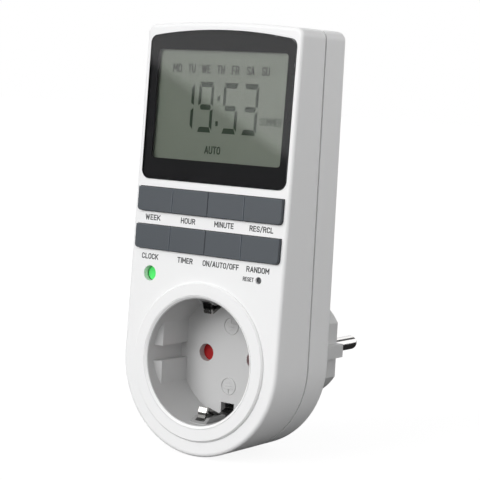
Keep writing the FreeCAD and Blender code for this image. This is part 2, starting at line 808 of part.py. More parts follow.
def rear_cover():
    """The rear shell with the hollow plug body in one moulding."""
    part = new_part("rear_cover")
    block = front_sketch(part, "case_depth")
    case_outline(block)
    pad(part, block, "case_depth - front_depth - seam_gap")
    round_edges(part, "rear_edge", lambda p: near(p.y, "case_depth"))
    cavity = front_sketch(part, "front_depth + seam_gap")
    case_outline(cavity, "wall")
    cut(part, cavity, "case_depth - wall - front_depth - seam_gap")
    tongue = front_sketch(part, "front_depth + seam_gap + lap_root")
    case_outline(tongue, "(wall - lap_wall)")
    case_outline(tongue, "wall")
    pad(part, tongue, "lap_depth + seam_gap + lap_root")
    pillars = front_sketch(part, "case_depth - wall / 2")
    seats = front_sketch(part, "case_depth - wall / 2")
    for x, z in SCREW_PLACES:
        circle(pillars, "boss_radius", x, z)
        circle(seats, "pillar_radius", x, z)
    pad(part, pillars, "case_depth - wall / 2 - front_depth")
    pad(part, seats, "head_recess + pillar_floor - wall / 2")
    posts = front_sketch(part, "case_depth - wall / 2")
    for x, z in POWER_POSTS:
        circle(posts, "power_post_radius", x, z)
    pad(part, posts, "wall / 2 + power_standoff")
    plug = front_sketch(part, "case_depth - wall / 2")
    flattened_circle(plug, "plug_radius", "plug_flat")
    pad(part, plug, "wall / 2 + plug_length", rearward=True)
    bevel_edges(part, "plug_edge", lambda p: near(p.y, "plug_end"))
    for side in SIDES:
        rib = front_sketch(part, "case_depth - wall / 2")
        near_x, far_x = f"{side}(plug_flat - plug_side_wall / 2)", f"{side}plug_rib_reach"
        left, right = (far_x, near_x) if side else (near_x, far_x)
        rectangle(rib, left, right, "-plug_rib_half", "plug_rib_half")
        pad(part, rib, "wall / 2 + plug_length - plug_rib_end", rearward=True)
    hollow = front_sketch(part, "case_depth - wall - clear_cut")
    flattened_circle(hollow, "plug_radius - plug_wall", "plug_flat - plug_side_wall")
    cut(part, hollow, "clear_cut + wall + plug_length - plug_end_wall")
    pin_bosses = front_sketch(part, "plug_end - plug_end_wall / 2")
    for side in SIDES:
        circle(pin_bosses, "pin_boss_radius", f"{side}pin_x")
    pad(part, pin_bosses, "plug_end_wall / 2 + pin_boss_length")
    pin_holes = front_sketch(part, "plug_end + clear_cut")
    for side in SIDES:
        circle(pin_holes, "pin_shank_radius + fit_gap / 2", f"{side}pin_x")
    cut(part, pin_holes, "clear_cut + plug_end_wall + pin_boss_length + clear_cut", forward=True)
    for side in SIDES:
        slot = front_sketch(part, "case_depth - wall - clear_cut")
        inner = f"{side}(strip_radius - fit_gap)"
        outer = f"{side}(strip_radius + strip_thickness + fit_gap)"
        low, high = (outer, inner) if side else (inner, outer)
        rectangle(slot, "-strip_half - fit_gap", "strip_half + fit_gap", low, high)
        cut(part, slot, "clear_cut + wall + clear_cut")
        groove = front_sketch(part, "case_depth")
        outer = f"{side}(plug_radius + clear_cut)"
        low, high = (outer, inner) if side else (inner, outer)
        rectangle(groove, "-strip_half - fit_gap", "strip_half + fit_gap", low, high)
        cut(part, groove, "plug_length - strip_short + fit_gap")
    shanks = front_sketch(part, "case_depth + clear_cut")
    recesses = front_sketch(part, "case_depth + clear_cut")
    for x, z in SCREW_PLACES:
        circle(shanks, "screw_radius + fit_gap", x, z)
        circle(recesses, "screw_head_radius + fit_gap", x, z)
    cut(part, shanks, "case_depth + clear_cut - front_depth + clear_cut", forward=True)
    cut(part, recesses, "clear_cut + head_recess", forward=True)
    holes = front_sketch(part, "power_back")
    for x, z in POWER_POSTS:
        circle(holes, "small_screw_radius + fit_gap / 2", x, z)
    cut(part, holes, "power_standoff + wall / 2")
    return part


def socket_cup():
    """The socket's cup: a well with guide ribs, pin holes and the two earth clips' rails and windows."""
    part = new_part("socket_cup")
    disc = front_sketch(part, "cup_back")
    circle(disc, "well_radius + cup_wall")
    pad(part, disc, "cup_back + front_reserve")
    well = front_sketch(part, "well_depth")
    circle(well, "well_radius")
    cut(part, well, forward=True)
    for side in SIDES:
        for low in ("guide_gap", "-guide_reach"):
            rib = top_sketch(part, low)
            far, flat = f"{side}(well_radius + cup_wall)", f"{side}guide_flat"
            slope = "(guide_ramp_end - guide_ramp_start) / (well_radius - guide_flat)"
            start = f"guide_ramp_end - {slope} * (well_radius + cup_wall - guide_flat)"
            polygon(rib, [(flat, "well_depth + cup_base / 2"), (flat, "guide_ramp_end"), (far, start),
                          (far, "well_depth + cup_base / 2")])
            pad(part, rib, "guide_reach - guide_gap")
    for side in SIDES:
        rail = side_sketch(part)
        foot, top = f"{side}(well_radius + cup_wall / 2)", f"{side}clip_rail_top"
        slope = "(well_radius - clip_rail_top) / 2"
        polygon(rail, [("clip_rail_start", foot), ("clip_rail_start + clip_rail_ramp", top),
                       (f"clip_rail_end - {slope}", top), ("clip_rail_end", foot)])
        pad(part, rail, "2 * clip_rail_half", both=True)
    outside = front_sketch(part, "cup_back")
    circle(outside, "well_radius + cup_wall")
    circle(outside, "2 * half_width")
    cut(part, outside, forward=True)
    neck = front_sketch(part, "cup_neck")
    circle(neck, "rim_radius - fit_gap")
    circle(neck, "2 * half_width")
    cut(part, neck, forward=True)
    before = front_sketch(part, "-ring_height", leaning=True)
    rectangle(before, "-2 * half_width", "2 * half_width", "-2 * half_width", "2 * half_width")
    cut(part, before, forward=True)
    flange = front_sketch(part, "wall + cup_flange", leaning=True)
    circle(flange, "cup_flange_radius")
    circle(flange, "well_radius + cup_wall / 4")
    pad(part, flange, "cup_flange")
    inside = number("well_radius + cup_wall / 4")
    bevel_edges(part, "rim_bevel",
                lambda p: abs(face_depth(p) + number("ring_height")) < 1e-4 and radius_of(p) < inside)
    holes = front_sketch(part, "well_depth - clear_cut")
    for side in SIDES:
        circle(holes, "pin_hole_radius", f"{side}pin_x")
    cut(part, holes, "cup_base + 2 * clear_cut")
    for side in SIDES:
        window = front_sketch(part, "well_depth - pocket_step")
        inner, outer = f"{side}earth_window_low", f"{side}(well_radius - fit_gap)"
        low, high = (outer, inner) if side else (inner, outer)
        rectangle(window, "-earth_window_half", "earth_window_half", low, high)
        cut(part, window, "cup_base + clear_cut")
        slot = side_sketch(part)
        mouth, base = f"{side}(clip_rail_top - clear_cut)", f"{side}(well_radius - fit_gap)"
        far = "cup_back + clear_cut"
        polygon(slot, [("clip_slot_start", mouth), (far, mouth), (far, base), ("clip_slot_start", base)])
        cut(part, slot, "2 * clip_slot_half", both=True)
    return part


def display_window():
    """The glossy window plate, a little proud of the face."""
    part = new_part("display_window", leaning=True)
    plate = front_sketch(part, "window_thickness - window_proud")
    window_outline(plate)
    pad(part, plate, "window_thickness")
    round_edges(part, "window_edge", lambda p: near(p.y, "-window_proud"))
    return part


def display_stack():
    """The panel, its reflector, the connector strip and the frame that holds them to the board."""
    front = "wall + fit_gap"
    back = f"{front} + lcd_thickness"
    box_part("lcd_panel", "-lcd_half", "lcd_half", front, back, "lcd_low", "lcd_top", True)
    box_part("lcd_backing", "-lcd_half", "lcd_half", back, f"{back} + backing_thickness",
             "lcd_low + lcd_step", "lcd_top", True)
    box_part("lcd_connector", "-connector_half", "connector_half", back, "board_depth",
             "lcd_low + fit_gap", "lcd_low + fit_gap + connector_height", True)
    part = new_part("lcd_frame", leaning=True)
    block = front_sketch(part, "board_depth")
    rectangle(block, "-lcd_half - fit_gap - frame_wall", "lcd_half + fit_gap + frame_wall",
              "lcd_low - fit_gap - frame_wall", "lcd_top + fit_gap + frame_wall")
    pad(part, block, "board_depth - wall")
    pocket = front_sketch(part, "wall")
    rectangle(pocket, "-lcd_half - fit_gap", "lcd_half + fit_gap", "lcd_low - fit_gap", "lcd_top + fit_gap")
    cut(part, pocket, "fit_gap + lcd_thickness + backing_thickness")
    through = front_sketch(part, "wall")
    rectangle(through, "-connector_half - fit_gap", "connector_half + fit_gap", "lcd_low",
              "lcd_top - frame_ledge")
    cut(part, through)
    return part


def display_board():
    """The board behind the display and the keys, cut away round the socket and the case screws' bosses."""
    part = new_part("display_board", leaning=True)
    blank = front_sketch(part, "board_depth + board_thickness")
    rectangle(blank, "-board_half", "board_half", "board_low", "board_top")
    pad(part, blank, "board_thickness")
    openings = front_sketch(part, "board_depth")
    circle(openings, "well_radius + cup_wall + board_cup_gap")
    cut(part, openings)
    notches = front_sketch(part, "board_depth")
    for side in SIDES:
        circle(notches, "boss_radius + boss_clear", f"{side}screw_x", "screw_high")
    cut(part, notches)
    holes = front_sketch(part, "board_depth")
    for x, z in POST_PLACES:
        circle(holes, "small_screw_radius + fit_gap", x, z)
    cut(part, holes)
    return part


def key_side(column):
    """The left and right limits of a key as expressions: the row's ends are full, the joints have a gap."""
    left = f"-key_row_half + {column} * key_pitch" + (" + key_gap / 2" if column else "")
    right = f"-key_row_half + {column + 1} * key_pitch" + (" - key_gap / 2" if column < 3 else "")
    return left, right


def key_centre(column):
    """The middle of a key across the case."""
    return f"-key_row_half + ({column} + 0.5) * key_pitch"


def key(row, column):
    """A key cap: a proud bar with a lip behind the face and a short stem on its switch's plunger."""
    part = new_part(f"key_{row}_{column + 1}", leaning=True)
    low = KEY_ROWS[row]
    left, right = key_side(column)
    cap = front_sketch(part, "wall + fit_gap")
    rectangle(cap, left, right, low, f"{low} + key_height")
    pad(part, cap, "wall + fit_gap + key_proud")
    outer_x = {0: left, 3: right}.get(column)
    if outer_x:
        round_edges(part, "key_corner", lambda p: near(p.x, outer_x) and near(p.z, low))
    round_edges(part, "key_edge", lambda p: near(p.y, "-key_proud"))
    lip = front_sketch(part, "wall + fit_gap + key_lip_thickness")
    lip_left = left if column else "-(half_width - wall - slide_gap)"
    lip_right = right if column < 3 else "half_width - wall - slide_gap"
    rectangle(lip, lip_left, lip_right, f"{low} - key_lip", f"{low} + key_height + key_lip")
    pad(part, lip, "key_lip_thickness")
    stem = front_sketch(part, "plunger_front")
    circle(stem, "plunger_radius", key_centre(column), f"{low} + key_height / 2")
    pad(part, stem, "plunger_front - wall - fit_gap")
    plunger(f"plunger_{row}_{column + 1}", key_centre(column), f"{low} + key_height / 2")
    return part


def plunger(name, x, z):
    """The round plunger of a switch."""
    part = new_part(name, leaning=True)
    base = front_sketch(part, "plunger_front + plunger_length")
    circle(base, "plunger_radius", x, z)
    pad(part, base, "plunger_length")
    return part


def switch_housings(name, places):
    """Square switch housings on the display board, each with the bore its plunger runs in."""
    part = new_part(name, leaning=True)
    half = "switch_width / 2"
    bases = front_sketch(part, "board_depth")
    for x, z in places:
        rectangle(bases, f"{x} - {half}", f"{x} + {half}", f"{z} - {half}", f"{z} + {half}")
    pad(part, bases, "switch_height")
    bores = front_sketch(part, "board_depth - switch_height")
    for x, z in places:
        circle(bores, "plunger_radius + plunger_play", x, z)
    cut(part, bores, "switch_bore")
    part.AllowCompound = True
    return part


def reset_button():
    """The small button sunk in its hole, with a lip behind the face."""
    part = new_part("reset_button", leaning=True)
    lip = front_sketch(part, "wall + fit_gap + key_lip_thickness")
    circle(lip, "reset_flange", "reset_x", "reset_z")
    pad(part, lip, "key_lip_thickness")
    stem = front_sketch(part, "plunger_front")
    circle(stem, "reset_radius", "reset_x", "reset_z")
    pad(part, stem, "plunger_front - reset_sunk")
    return part


def indicator_led():
    """The lamp: a flanged cylinder with a low domed front, sunk in its hole."""
    part = new_part("indicator_led", leaning=True)
    flange = front_sketch(part, "board_depth")
    circle(flange, "led_flange_radius", "-led_x", "led_z")
    pad(part, flange, "led_flange")
    lens = front_sketch(part, "board_depth")
    circle(lens, "led_radius", "-led_x", "led_z")
    pad(part, lens, "board_depth - led_sunk")
    round_edges(part, "led_dome", lambda p: near(p.y, "led_sunk"))
    return part


def screw_group(name, places, radius, length, head_radius, head, seat, leaning=False, from_front=False):
    """Identical screws, driven from behind or from the front: a head with a crossed recess and a shank."""
    part = new_part(name, leaning)
    shanks = front_sketch(part, seat)
    heads = front_sketch(part, seat)
    for x, z in places:
        circle(shanks, radius, x, z)
        circle(heads, head_radius, x, z)
    pad(part, heads, head, rearward=not from_front)
    pad(part, shanks, length, rearward=from_front)
    far = f"{seat} - ({head})" if from_front else f"{seat} + {head}"
    narrow, wide = "screw_slot / 2", f"{head_radius} * screw_slot_reach / 2"
    for across, along in ((narrow, wide), (wide, narrow)):
        cross = front_sketch(part, far)
        for x, z in places:
            rectangle(cross, f"{x} - {across}", f"{x} + {across}", f"{z} - {along}", f"{z} + {along}")
        cut(part, cross, f"{head} * screw_slot_share", forward=not from_front)
    part.AllowCompound = True
    return part


def board_components():
    """What sits on the back of the display board."""
    back = "board_depth + board_thickness"
    box_part("controller_chip", "-chip_half", "chip_half", back, f"{back} + chip_thickness",
             "chip_z - chip_half", "chip_z + chip_half", True)
    crystal = new_part("crystal", leaning=True)
    can = side_sketch(crystal, "-crystal_x - crystal_length / 2")
    circle(can, "crystal_radius", f"{back} + crystal_radius", "crystal_z")
    pad(crystal, can, "crystal_length")
    cell = new_part("backup_cell", leaning=True)
    disc = front_sketch(cell, f"{back} + cell_thickness")
    circle(disc, "cell_radius", "cell_x", "cell_z")
    pad(cell, disc, "cell_thickness")
    round_edges(cell, "key_edge", lambda p: near(p.y, f"{back} + cell_thickness"))


def power_board():
    """The board along the rear wall, and the parts that stand on its front."""
    part = new_part("power_board")
    blank = front_sketch(part, "power_back")
    rectangle(blank, "-power_half", "power_half", "power_low", "power_top")
    pad(part, blank, "board_thickness")
    holes = front_sketch(part, "power_front")
    for x, z in POWER_POSTS:
        circle(holes, "small_screw_radius + fit_gap", x, z)
    cut(part, holes)
    relay = box_part("relay", "relay_x - relay_width / 2", "relay_x + relay_width / 2",
                     "relay_front", "power_front",
                     "relay_z - relay_length / 2", "relay_z + relay_length / 2")
    round_edges(relay, "key_edge", lambda p: near(p.y, "relay_front"))
    capacitor = box_part("line_capacitor", "-line_capacitor_x - line_capacitor_width / 2",
                         "-line_capacitor_x + line_capacitor_width / 2",
                         "power_front - line_capacitor_height", "power_front",
                         "relay_z - line_capacitor_length / 2", "relay_z + line_capacitor_length / 2")
    round_edges(capacitor, "key_edge", lambda p: near(p.y, "power_front - line_capacitor_height"))
    smoothing = new_part("smoothing_capacitor")
    can = top_sketch(smoothing, "smoothing_z - smoothing_length / 2")
    circle(can, "smoothing_radius", "0", "power_front - smoothing_radius")
    pad(smoothing, can, "smoothing_length")
    varistor = new_part("varistor")
    disc = side_sketch(varistor, "-varistor_x - varistor_thickness / 2")
    circle(disc, "varistor_radius", "power_front - varistor_radius", "varistor_z")
    pad(varistor, disc, "varistor_thickness")
    fuse = new_part("fuse_resistor")
    rod = side_sketch(fuse, "fuse_x - fuse_length / 2")
    circle(rod, "fuse_radius", "power_front - fuse_radius", "fuse_z")
    pad(fuse, rod, "fuse_length")
    rise = "(link_z + link_width / 2) * tan(face_lean * 1 deg)"
    box_part("board_link", "-link_half", "link_half", f"board_back + {rise} + fit_gap", "power_front",
             "link_z - link_width / 2", "link_z + link_width / 2")
    return part


def plug_pin(name, side):
    """A turned pin with a rounded tip, a collar behind the plug's end wall and a stub for its lead."""
    part = new_part(name, x=f"{side}pin_x", y="0")
    profile = top_sketch(part)
    collar_out = "-(plug_end_wall + pin_boss_length)"
    collar_in = "-(plug_end_wall + pin_boss_length + pin_collar)"
    stub_in = "-(plug_end_wall + pin_boss_length + pin_collar + pin_stub)"
    polygon(profile, [("0", "pin_length"), ("0", stub_in), ("pin_stub_radius", stub_in),
                      ("pin_stub_radius", collar_in), ("pin_collar_radius", collar_in),
                      ("pin_collar_radius", collar_out), ("pin_shank_radius", collar_out),
                      ("pin_shank_radius", "0"), ("pin_radius", "0"), ("pin_radius", "pin_length")])
    turn_profile(part, profile)
    round_edges(part, "pin_tip_radius",
                lambda p: near(p.y, "pin_length") and near(radius_of(p), "pin_radius"))
    return part


def earth_strip(name, side):
    """One bent strip: a flat contact along the plug's groove and a sprung clip with a nose inside the well.

    The clip's outside face turns a share of the strip's thickness before or behind its inside face.
    """
    part = new_part(name)
    inner, outer = "strip_radius", "strip_radius + strip_thickness"
    rest = "clip_rest + strip_thickness"
    end = "plug_end - strip_short"
    inside = [(end, inner), ("clip_turn_depth", inner), ("clip_shoulder_depth", "clip_rest"),
              ("clip_nose_depth + clip_nose_flat", "clip_nose"),
              ("clip_nose_depth - clip_nose_flat", "clip_nose"), ("clip_tail_depth", "clip_tail")]
    under = "clip_nose + strip_thickness * clip_nose_turn"
    outside = [("clip_tail_depth + strip_thickness", "clip_tail + strip_thickness * clip_tail_turn"),
               ("clip_nose_depth + strip_thickness * clip_nose_turn_back", under),
               ("clip_shoulder_depth", rest),
               ("clip_turn_depth + strip_thickness * clip_strip_turn", outer), (end, outer)]
    clip = side_sketch(part)
    polygon(clip, [(depth, f"{side}({z})") for depth, z in inside + outside])
    pad(part, clip, "2 * clip_half", both=True)
    round_edges(part, "clip_nose_round", lambda p: near(abs(p.z), "clip_nose"))
    flat = side_sketch(part)
    start = "case_depth - wall - clear_cut"
    polygon(flat, [(depth, f"{side}({z})")
                   for depth, z in ((end, inner), (start, inner), (start, outer), (end, outer))])
    pad(part, flat, "2 * strip_half", both=True)
    return part


def earth_yoke():
    """The bar that joins the two earth strips behind the contact carrier."""
    part = new_part("earth_yoke")
    far = "yoke_depth + strip_thickness"
    bar = side_sketch(part)
    polygon(bar, [("yoke_depth", "-strip_radius"), (far, "-strip_radius"), (far, "strip_radius"),
                  ("yoke_depth", "strip_radius")])
    pad(part, bar, "2 * clip_half", both=True)
    for side in SIDES:
        tab = side_sketch(part)
        edge, inside = f"{side}strip_radius", f"{side}(strip_radius - strip_thickness)"
        start = "yoke_depth - yoke_tab"
        polygon(tab, [(start, edge), (start, inside), (far, inside), (far, edge)])
        pad(part, tab, "2 * clip_half", both=True)
    return part


def contact_carrier():
    """The block behind the cup: a plate with the contacts' seats, side walls and the shutter's post."""
    part = new_part("contact_carrier")
    plate = front_sketch(part, "carrier_depth + carrier_plate")
    rectangle(plate, "-carrier_half", "carrier_half", "-carrier_height", "carrier_height")
    pad(part, plate, "carrier_plate")
    for side in SIDES:
        wall = front_sketch(part, "case_depth - wall")
        inner, outer = f"{side}(carrier_half - carrier_wall)", f"{side}carrier_half"
        left, right = (outer, inner) if side else (inner, outer)
        rectangle(wall, left, right, "-carrier_height", "carrier_height")
        pad(part, wall, "case_depth - wall - cup_back")
    post = front_sketch(part, "carrier_depth + carrier_plate / 2")
    circle(post, "hub_post_radius")
    pad(part, post, "carrier_depth + carrier_plate / 2 - cup_back")
    holes = front_sketch(part, "carrier_depth")
    for side in SIDES:
        circle(holes, "contact_bore + contact_wall + fit_gap", f"{side}pin_x")
    cut(part, holes)
    return part


def socket_contact(name, side):
    """A slit sleeve that grips a pin, with a collar on the carrier, a closed end and a lug for its lead."""
    part = new_part(name, x=f"{side}pin_x")
    profile = top_sketch(part)
    seat = "contact_seat"
    outer = "contact_bore + contact_wall"
    polygon(profile, [("contact_bore", "contact_front"), ("contact_bore", "contact_rear - contact_end"),
                      ("0", "contact_rear - contact_end"), ("0", "contact_rear"), (outer, "contact_rear"),
                      (outer, f"{seat} + contact_collar"), ("contact_collar_radius", f"{seat} + contact_collar"),
                      ("contact_collar_radius", seat), (outer, seat), (outer, "contact_front")])
    turn_profile(part, profile)
    slit = front_sketch(part, "contact_front - clear_cut")
    reach = f"({outer} + clear_cut)"
    rectangle(slit, "-contact_slit / 2", "contact_slit / 2", f"-{reach}", reach)
    cut(part, slit, f"clear_cut + {seat} - contact_front - fit_gap")
    lug = front_sketch(part, f"{seat} + contact_collar")
    rectangle(lug, f"{side}lug_offset - lug_half", f"{side}lug_offset + lug_half",
              "contact_bore", "lug_top")
    pad(part, lug, "contact_collar")
    return part


def safety_shutter():
    """The two-armed shutter: pads over both pin holes on a hub that turns on the carrier's post."""
    part = new_part("safety_shutter")
    arms = front_sketch(part, "shutter_back")
    rectangle(arms, "-pin_x", "pin_x", "-shutter_arm_half", "shutter_arm_half")
    pad(part, arms, "shutter_thickness")
    for side in SIDES:
        pads = front_sketch(part, "shutter_back")
        circle(pads, "shutter_pad_radius", f"{side}pin_x")
        pad(part, pads, "shutter_thickness")
    hub = front_sketch(part, "shutter_back")
    circle(hub, "hub_radius")
    pad(part, hub, "shutter_thickness")
    bore = front_sketch(part, "cup_back")
    circle(bore, "hub_post_radius + hub_play")
    cut(part, bore)
    recess = front_sketch(part, "shutter_back")
    circle(recess, "spring_recess_radius")
    cut(part, recess, "spring_length - (carrier_depth - shutter_back) + slide_gap", forward=True)
    return part


def shutter_spring():
    """The shutter's return spring, drawn as the plain sleeve that its coils fill."""
    part = new_part("shutter_spring")
    coil = front_sketch(part, "carrier_depth")
    circle(coil, "spring_outer")
    circle(coil, "spring_inner")
    pad(part, coil, "spring_length")
    return part


def neutral_link():
    """The short bar from the neutral contact to the neutral pin."""
    return box_part("neutral_link", "pin_x - link_bar_half", "pin_x + link_bar_half", "contact_rear",
                    "pin_inner_end", "-link_bar_thickness / 2", "link_bar_thickness / 2")


def side_lead(name, side):
    """A straight insulated lead from a contact's lug up to the power board."""
    part = new_part(name, x=f"{side}(pin_x + lug_offset)")
    section = top_sketch(part, "lug_top")
    circle(section, "lead_radius", "0", "lead_depth")
    pad(part, section, "power_low - lug_top")
    return part


def bent_lead(name, side):
    """An insulated lead from a pin's stub: forwards, up, forwards again and up to the power board."""
    part = new_part(name, x=f"{side}pin_x")
    start, drop = "pin_inner_end", "pin_inner_end - live_lead_drop"
    path = side_sketch(part)
    bent_path(path, [(start, "0"), (drop, "0"), (drop, "live_lead_rise"), ("lead_depth", "live_lead_rise"),
                     ("lead_depth", "power_low")], "lead_bend")
    section = front_sketch(part, start)
    circle(section, "lead_radius")
    pipe = part.newObject("PartDesign::AdditivePipe", "Pipe")
    pipe.Profile = section
    pipe.Spine = (path, [])
    return part


front_cover()
rear_cover()
socket_cup()
display_window()
display_stack()
display_board()
for key_row, key_column in KEYS:
    key(key_row, key_column)
KEY_PLACES = [(f"({key_centre(c)})", f"({KEY_ROWS[r]} + key_height / 2)") for r, c in KEYS]
switch_housings("key_switches", KEY_PLACES)
reset_button()
plunger("reset_plunger", "reset_x", "reset_z")
switch_housings("reset_switch", [("reset_x", "reset_z")])
indicator_led()
board_components()
screw_group("case_screws", SCREW_PLACES, "screw_radius", "screw_length", "screw_head_radius", "screw_head",
            "case_depth - head_recess")
screw_group("board_screws", POST_PLACES, "small_screw_radius", "small_screw_length", "small_head_radius",
            "small_head", "board_depth + board_thickness", leaning=True)
power_board()
screw_group("power_board_screws", POWER_POSTS, "small_screw_radius", "board_thickness + power_standoff",
            "small_head_radius", "small_head", "power_front", from_front=True)
plug_pin("live_pin", "-")
plug_pin("neutral_pin", "")
earth_strip("earth_strip_upper", "")
earth_strip("earth_strip_lower", "-")
earth_yoke()
contact_carrier()
socket_contact("live_contact", "-")
socket_contact("neutral_contact", "")
safety_shutter()
shutter_spring()
neutral_link()
bent_lead("live_lead", "-")
side_lead("switched_lead", "-")
side_lead("neutral_lead", "")
doc.recompute()

# Nothing is written unless every object came out sound and every pocket took material away
for thing in doc.Objects:
    if "Invalid" in thing.State or "Error" in thing.State:
        owner = thing.getParentGeoFeatureGroup()
        raise RuntimeError(f"{thing.Label} of {owner.Label if owner else 'the file'} failed: {thing.State}")
for part, feature in cuts:
    if feature.Shape.Volume > feature.BaseFeature.Shape.Volume - 1e-3:
        raise RuntimeError(f"{part.Label}: {feature.Name} cuts nothing")
for part in pieces:
    if part.Shape.isNull() or not part.Shape.isValid():
        raise RuntimeError(f"{part.Label} has no sound shape")

os.makedirs("parts", exist_ok=True)
for part in pieces:
    part.Shape.exportStep(f"parts/{part.Label}.step")
print(f"{len(pieces)} pieces written")
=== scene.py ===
import math
import bpy
import numpy as np
from mathutils import Matrix, Vector


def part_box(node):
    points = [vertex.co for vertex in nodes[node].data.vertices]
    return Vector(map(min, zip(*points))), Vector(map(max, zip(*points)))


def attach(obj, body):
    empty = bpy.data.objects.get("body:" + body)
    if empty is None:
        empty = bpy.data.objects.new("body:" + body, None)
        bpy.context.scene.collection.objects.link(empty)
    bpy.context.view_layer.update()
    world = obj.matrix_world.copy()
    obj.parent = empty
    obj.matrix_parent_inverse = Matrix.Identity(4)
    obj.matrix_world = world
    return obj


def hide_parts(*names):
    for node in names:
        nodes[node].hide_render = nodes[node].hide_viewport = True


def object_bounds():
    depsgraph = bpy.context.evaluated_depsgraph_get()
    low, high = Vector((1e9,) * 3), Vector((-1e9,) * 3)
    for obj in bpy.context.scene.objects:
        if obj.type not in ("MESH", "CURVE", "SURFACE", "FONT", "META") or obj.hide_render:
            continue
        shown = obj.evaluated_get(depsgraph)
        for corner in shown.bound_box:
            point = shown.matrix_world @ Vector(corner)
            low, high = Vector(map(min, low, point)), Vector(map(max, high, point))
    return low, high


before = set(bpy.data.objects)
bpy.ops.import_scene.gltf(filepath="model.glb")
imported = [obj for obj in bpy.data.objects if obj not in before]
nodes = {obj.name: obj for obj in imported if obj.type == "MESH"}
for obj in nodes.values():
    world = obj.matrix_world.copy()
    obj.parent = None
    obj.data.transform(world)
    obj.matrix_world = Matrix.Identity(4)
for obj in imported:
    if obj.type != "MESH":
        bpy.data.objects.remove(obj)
cad_box = [list(corner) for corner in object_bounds()]

# The camera
# A long lens half a metre away, to the right of the timer and just above its middle. The turn and the place
# were worked out from the case's corners, the socket's ring and the rows of keys.
turn = Vector((0.076, 0.620, 0.079))
level = Matrix(((1, 0, 0), (0, 0, -1), (0, 1, 0)))
view = Matrix.Rotation(turn.length, 3, turn.normalized()) @ level
eye = Vector((0.29634, -0.45578, 0.08643))
camera_data = bpy.data.cameras.new("camera")
camera_data.lens = 119.35
camera_data.sensor_width = 36
camera_data.clip_start = 0.01
camera = bpy.data.objects.new("camera", camera_data)
bpy.context.scene.collection.objects.link(camera)
camera.matrix_world = Matrix.Translation(eye) @ (view.transposed() @ Matrix.Diagonal((1, -1, -1))).to_4x4()
bpy.context.scene.camera = camera


# The case: front cover, rear cover and socket cup
# Three mouldings of one white plastic with a fine even grain. The covers close with four screws from the
# back, and the cup is held between them. Painted shade darkens the plug, the seam's two faces and the well,
# and a painted highlight brightens the lip round the well.
def new_material(name, colour, roughness):
    """A material with a Principled shader set to one colour and roughness, ready for its nodes."""
    material = bpy.data.materials.new(name)
    material.use_nodes = True
    shader = material.node_tree.nodes["Principled BSDF"]
    shader.inputs["Base Color"].default_value = (*colour, 1)
    shader.inputs["Roughness"].default_value = roughness
    return material, material.node_tree.nodes, material.node_tree.links, shader


def place(material, group, **values):
    """A node group put into a material on Object coordinates, with its own values."""
    tree = material.node_tree
    node = tree.nodes.new("ShaderNodeGroup")
    node.node_tree = group
    where = tree.nodes.new("ShaderNodeTexCoord")
    tree.links.new(where.outputs["Object"], node.inputs["Position"])
    for name, value in values.items():
        node.inputs[name.replace("_", " ")].default_value = value
    return node


def group_sockets(name, inputs, outputs):
    """An empty node group with the named inputs and outputs, and its two end nodes."""
    group = bpy.data.node_groups.new(name, "ShaderNodeTree")
    group.interface.new_socket("Position", in_out="INPUT", socket_type="NodeSocketVector")
    for label, value in inputs.items():
        kind = "NodeSocketColor" if isinstance(value, tuple) else "NodeSocketFloat"
        group.interface.new_socket(label, in_out="INPUT", socket_type=kind).default_value = value
    for label, kind in outputs.items():
        group.interface.new_socket(label, in_out="OUTPUT", socket_type=kind)
    return group, group.nodes.new("NodeGroupInput"), group.nodes.new("NodeGroupOutput")


def moulded_grain_group():
    """Spark-eroded grain: height is fine noise, and colour and gloss drift a little by broad noise."""
    group, start, end = group_sockets(
        "moulded grain", {"Colour": (0.8, 0.8, 0.8, 1), "Tint": (0.7, 0.7, 0.7, 1), "Grain": 2600.0,
                          "Patch": 35.0, "Gloss": 0.4, "Gloss drift": 0.06},
        {"Colour": "NodeSocketColor", "Roughness": "NodeSocketFloat", "Height": "NodeSocketFloat"})
    links = group.links
    fine = group.nodes.new("ShaderNodeTexNoise")
    fine.inputs["Detail"].default_value = 3
    broad = group.nodes.new("ShaderNodeTexNoise")
    broad.inputs["Detail"].default_value = 4
    for noise, size in ((fine, "Grain"), (broad, "Patch")):
        links.new(start.outputs["Position"], noise.inputs["Vector"])
        links.new(start.outputs[size], noise.inputs["Scale"])
    blend = group.nodes.new("ShaderNodeMix")
    blend.data_type = "RGBA"
    links.new(broad.outputs["Fac"], blend.inputs["Factor"])
    links.new(start.outputs["Colour"], blend.inputs["A"])
    links.new(start.outputs["Tint"], blend.inputs["B"])
    gloss = group.nodes.new("ShaderNodeMath")
    gloss.operation = "MULTIPLY_ADD"
    links.new(broad.outputs["Fac"], gloss.inputs[0])
    links.new(start.outputs["Gloss drift"], gloss.inputs[1])
    links.new(start.outputs["Gloss"], gloss.inputs[2])
    links.new(blend.outputs["Result"], end.inputs["Colour"])
    links.new(gloss.outputs["Value"], end.inputs["Roughness"])
    links.new(fine.outputs["Fac"], end.inputs["Height"])
    return group


moulded_grain = moulded_grain_group()


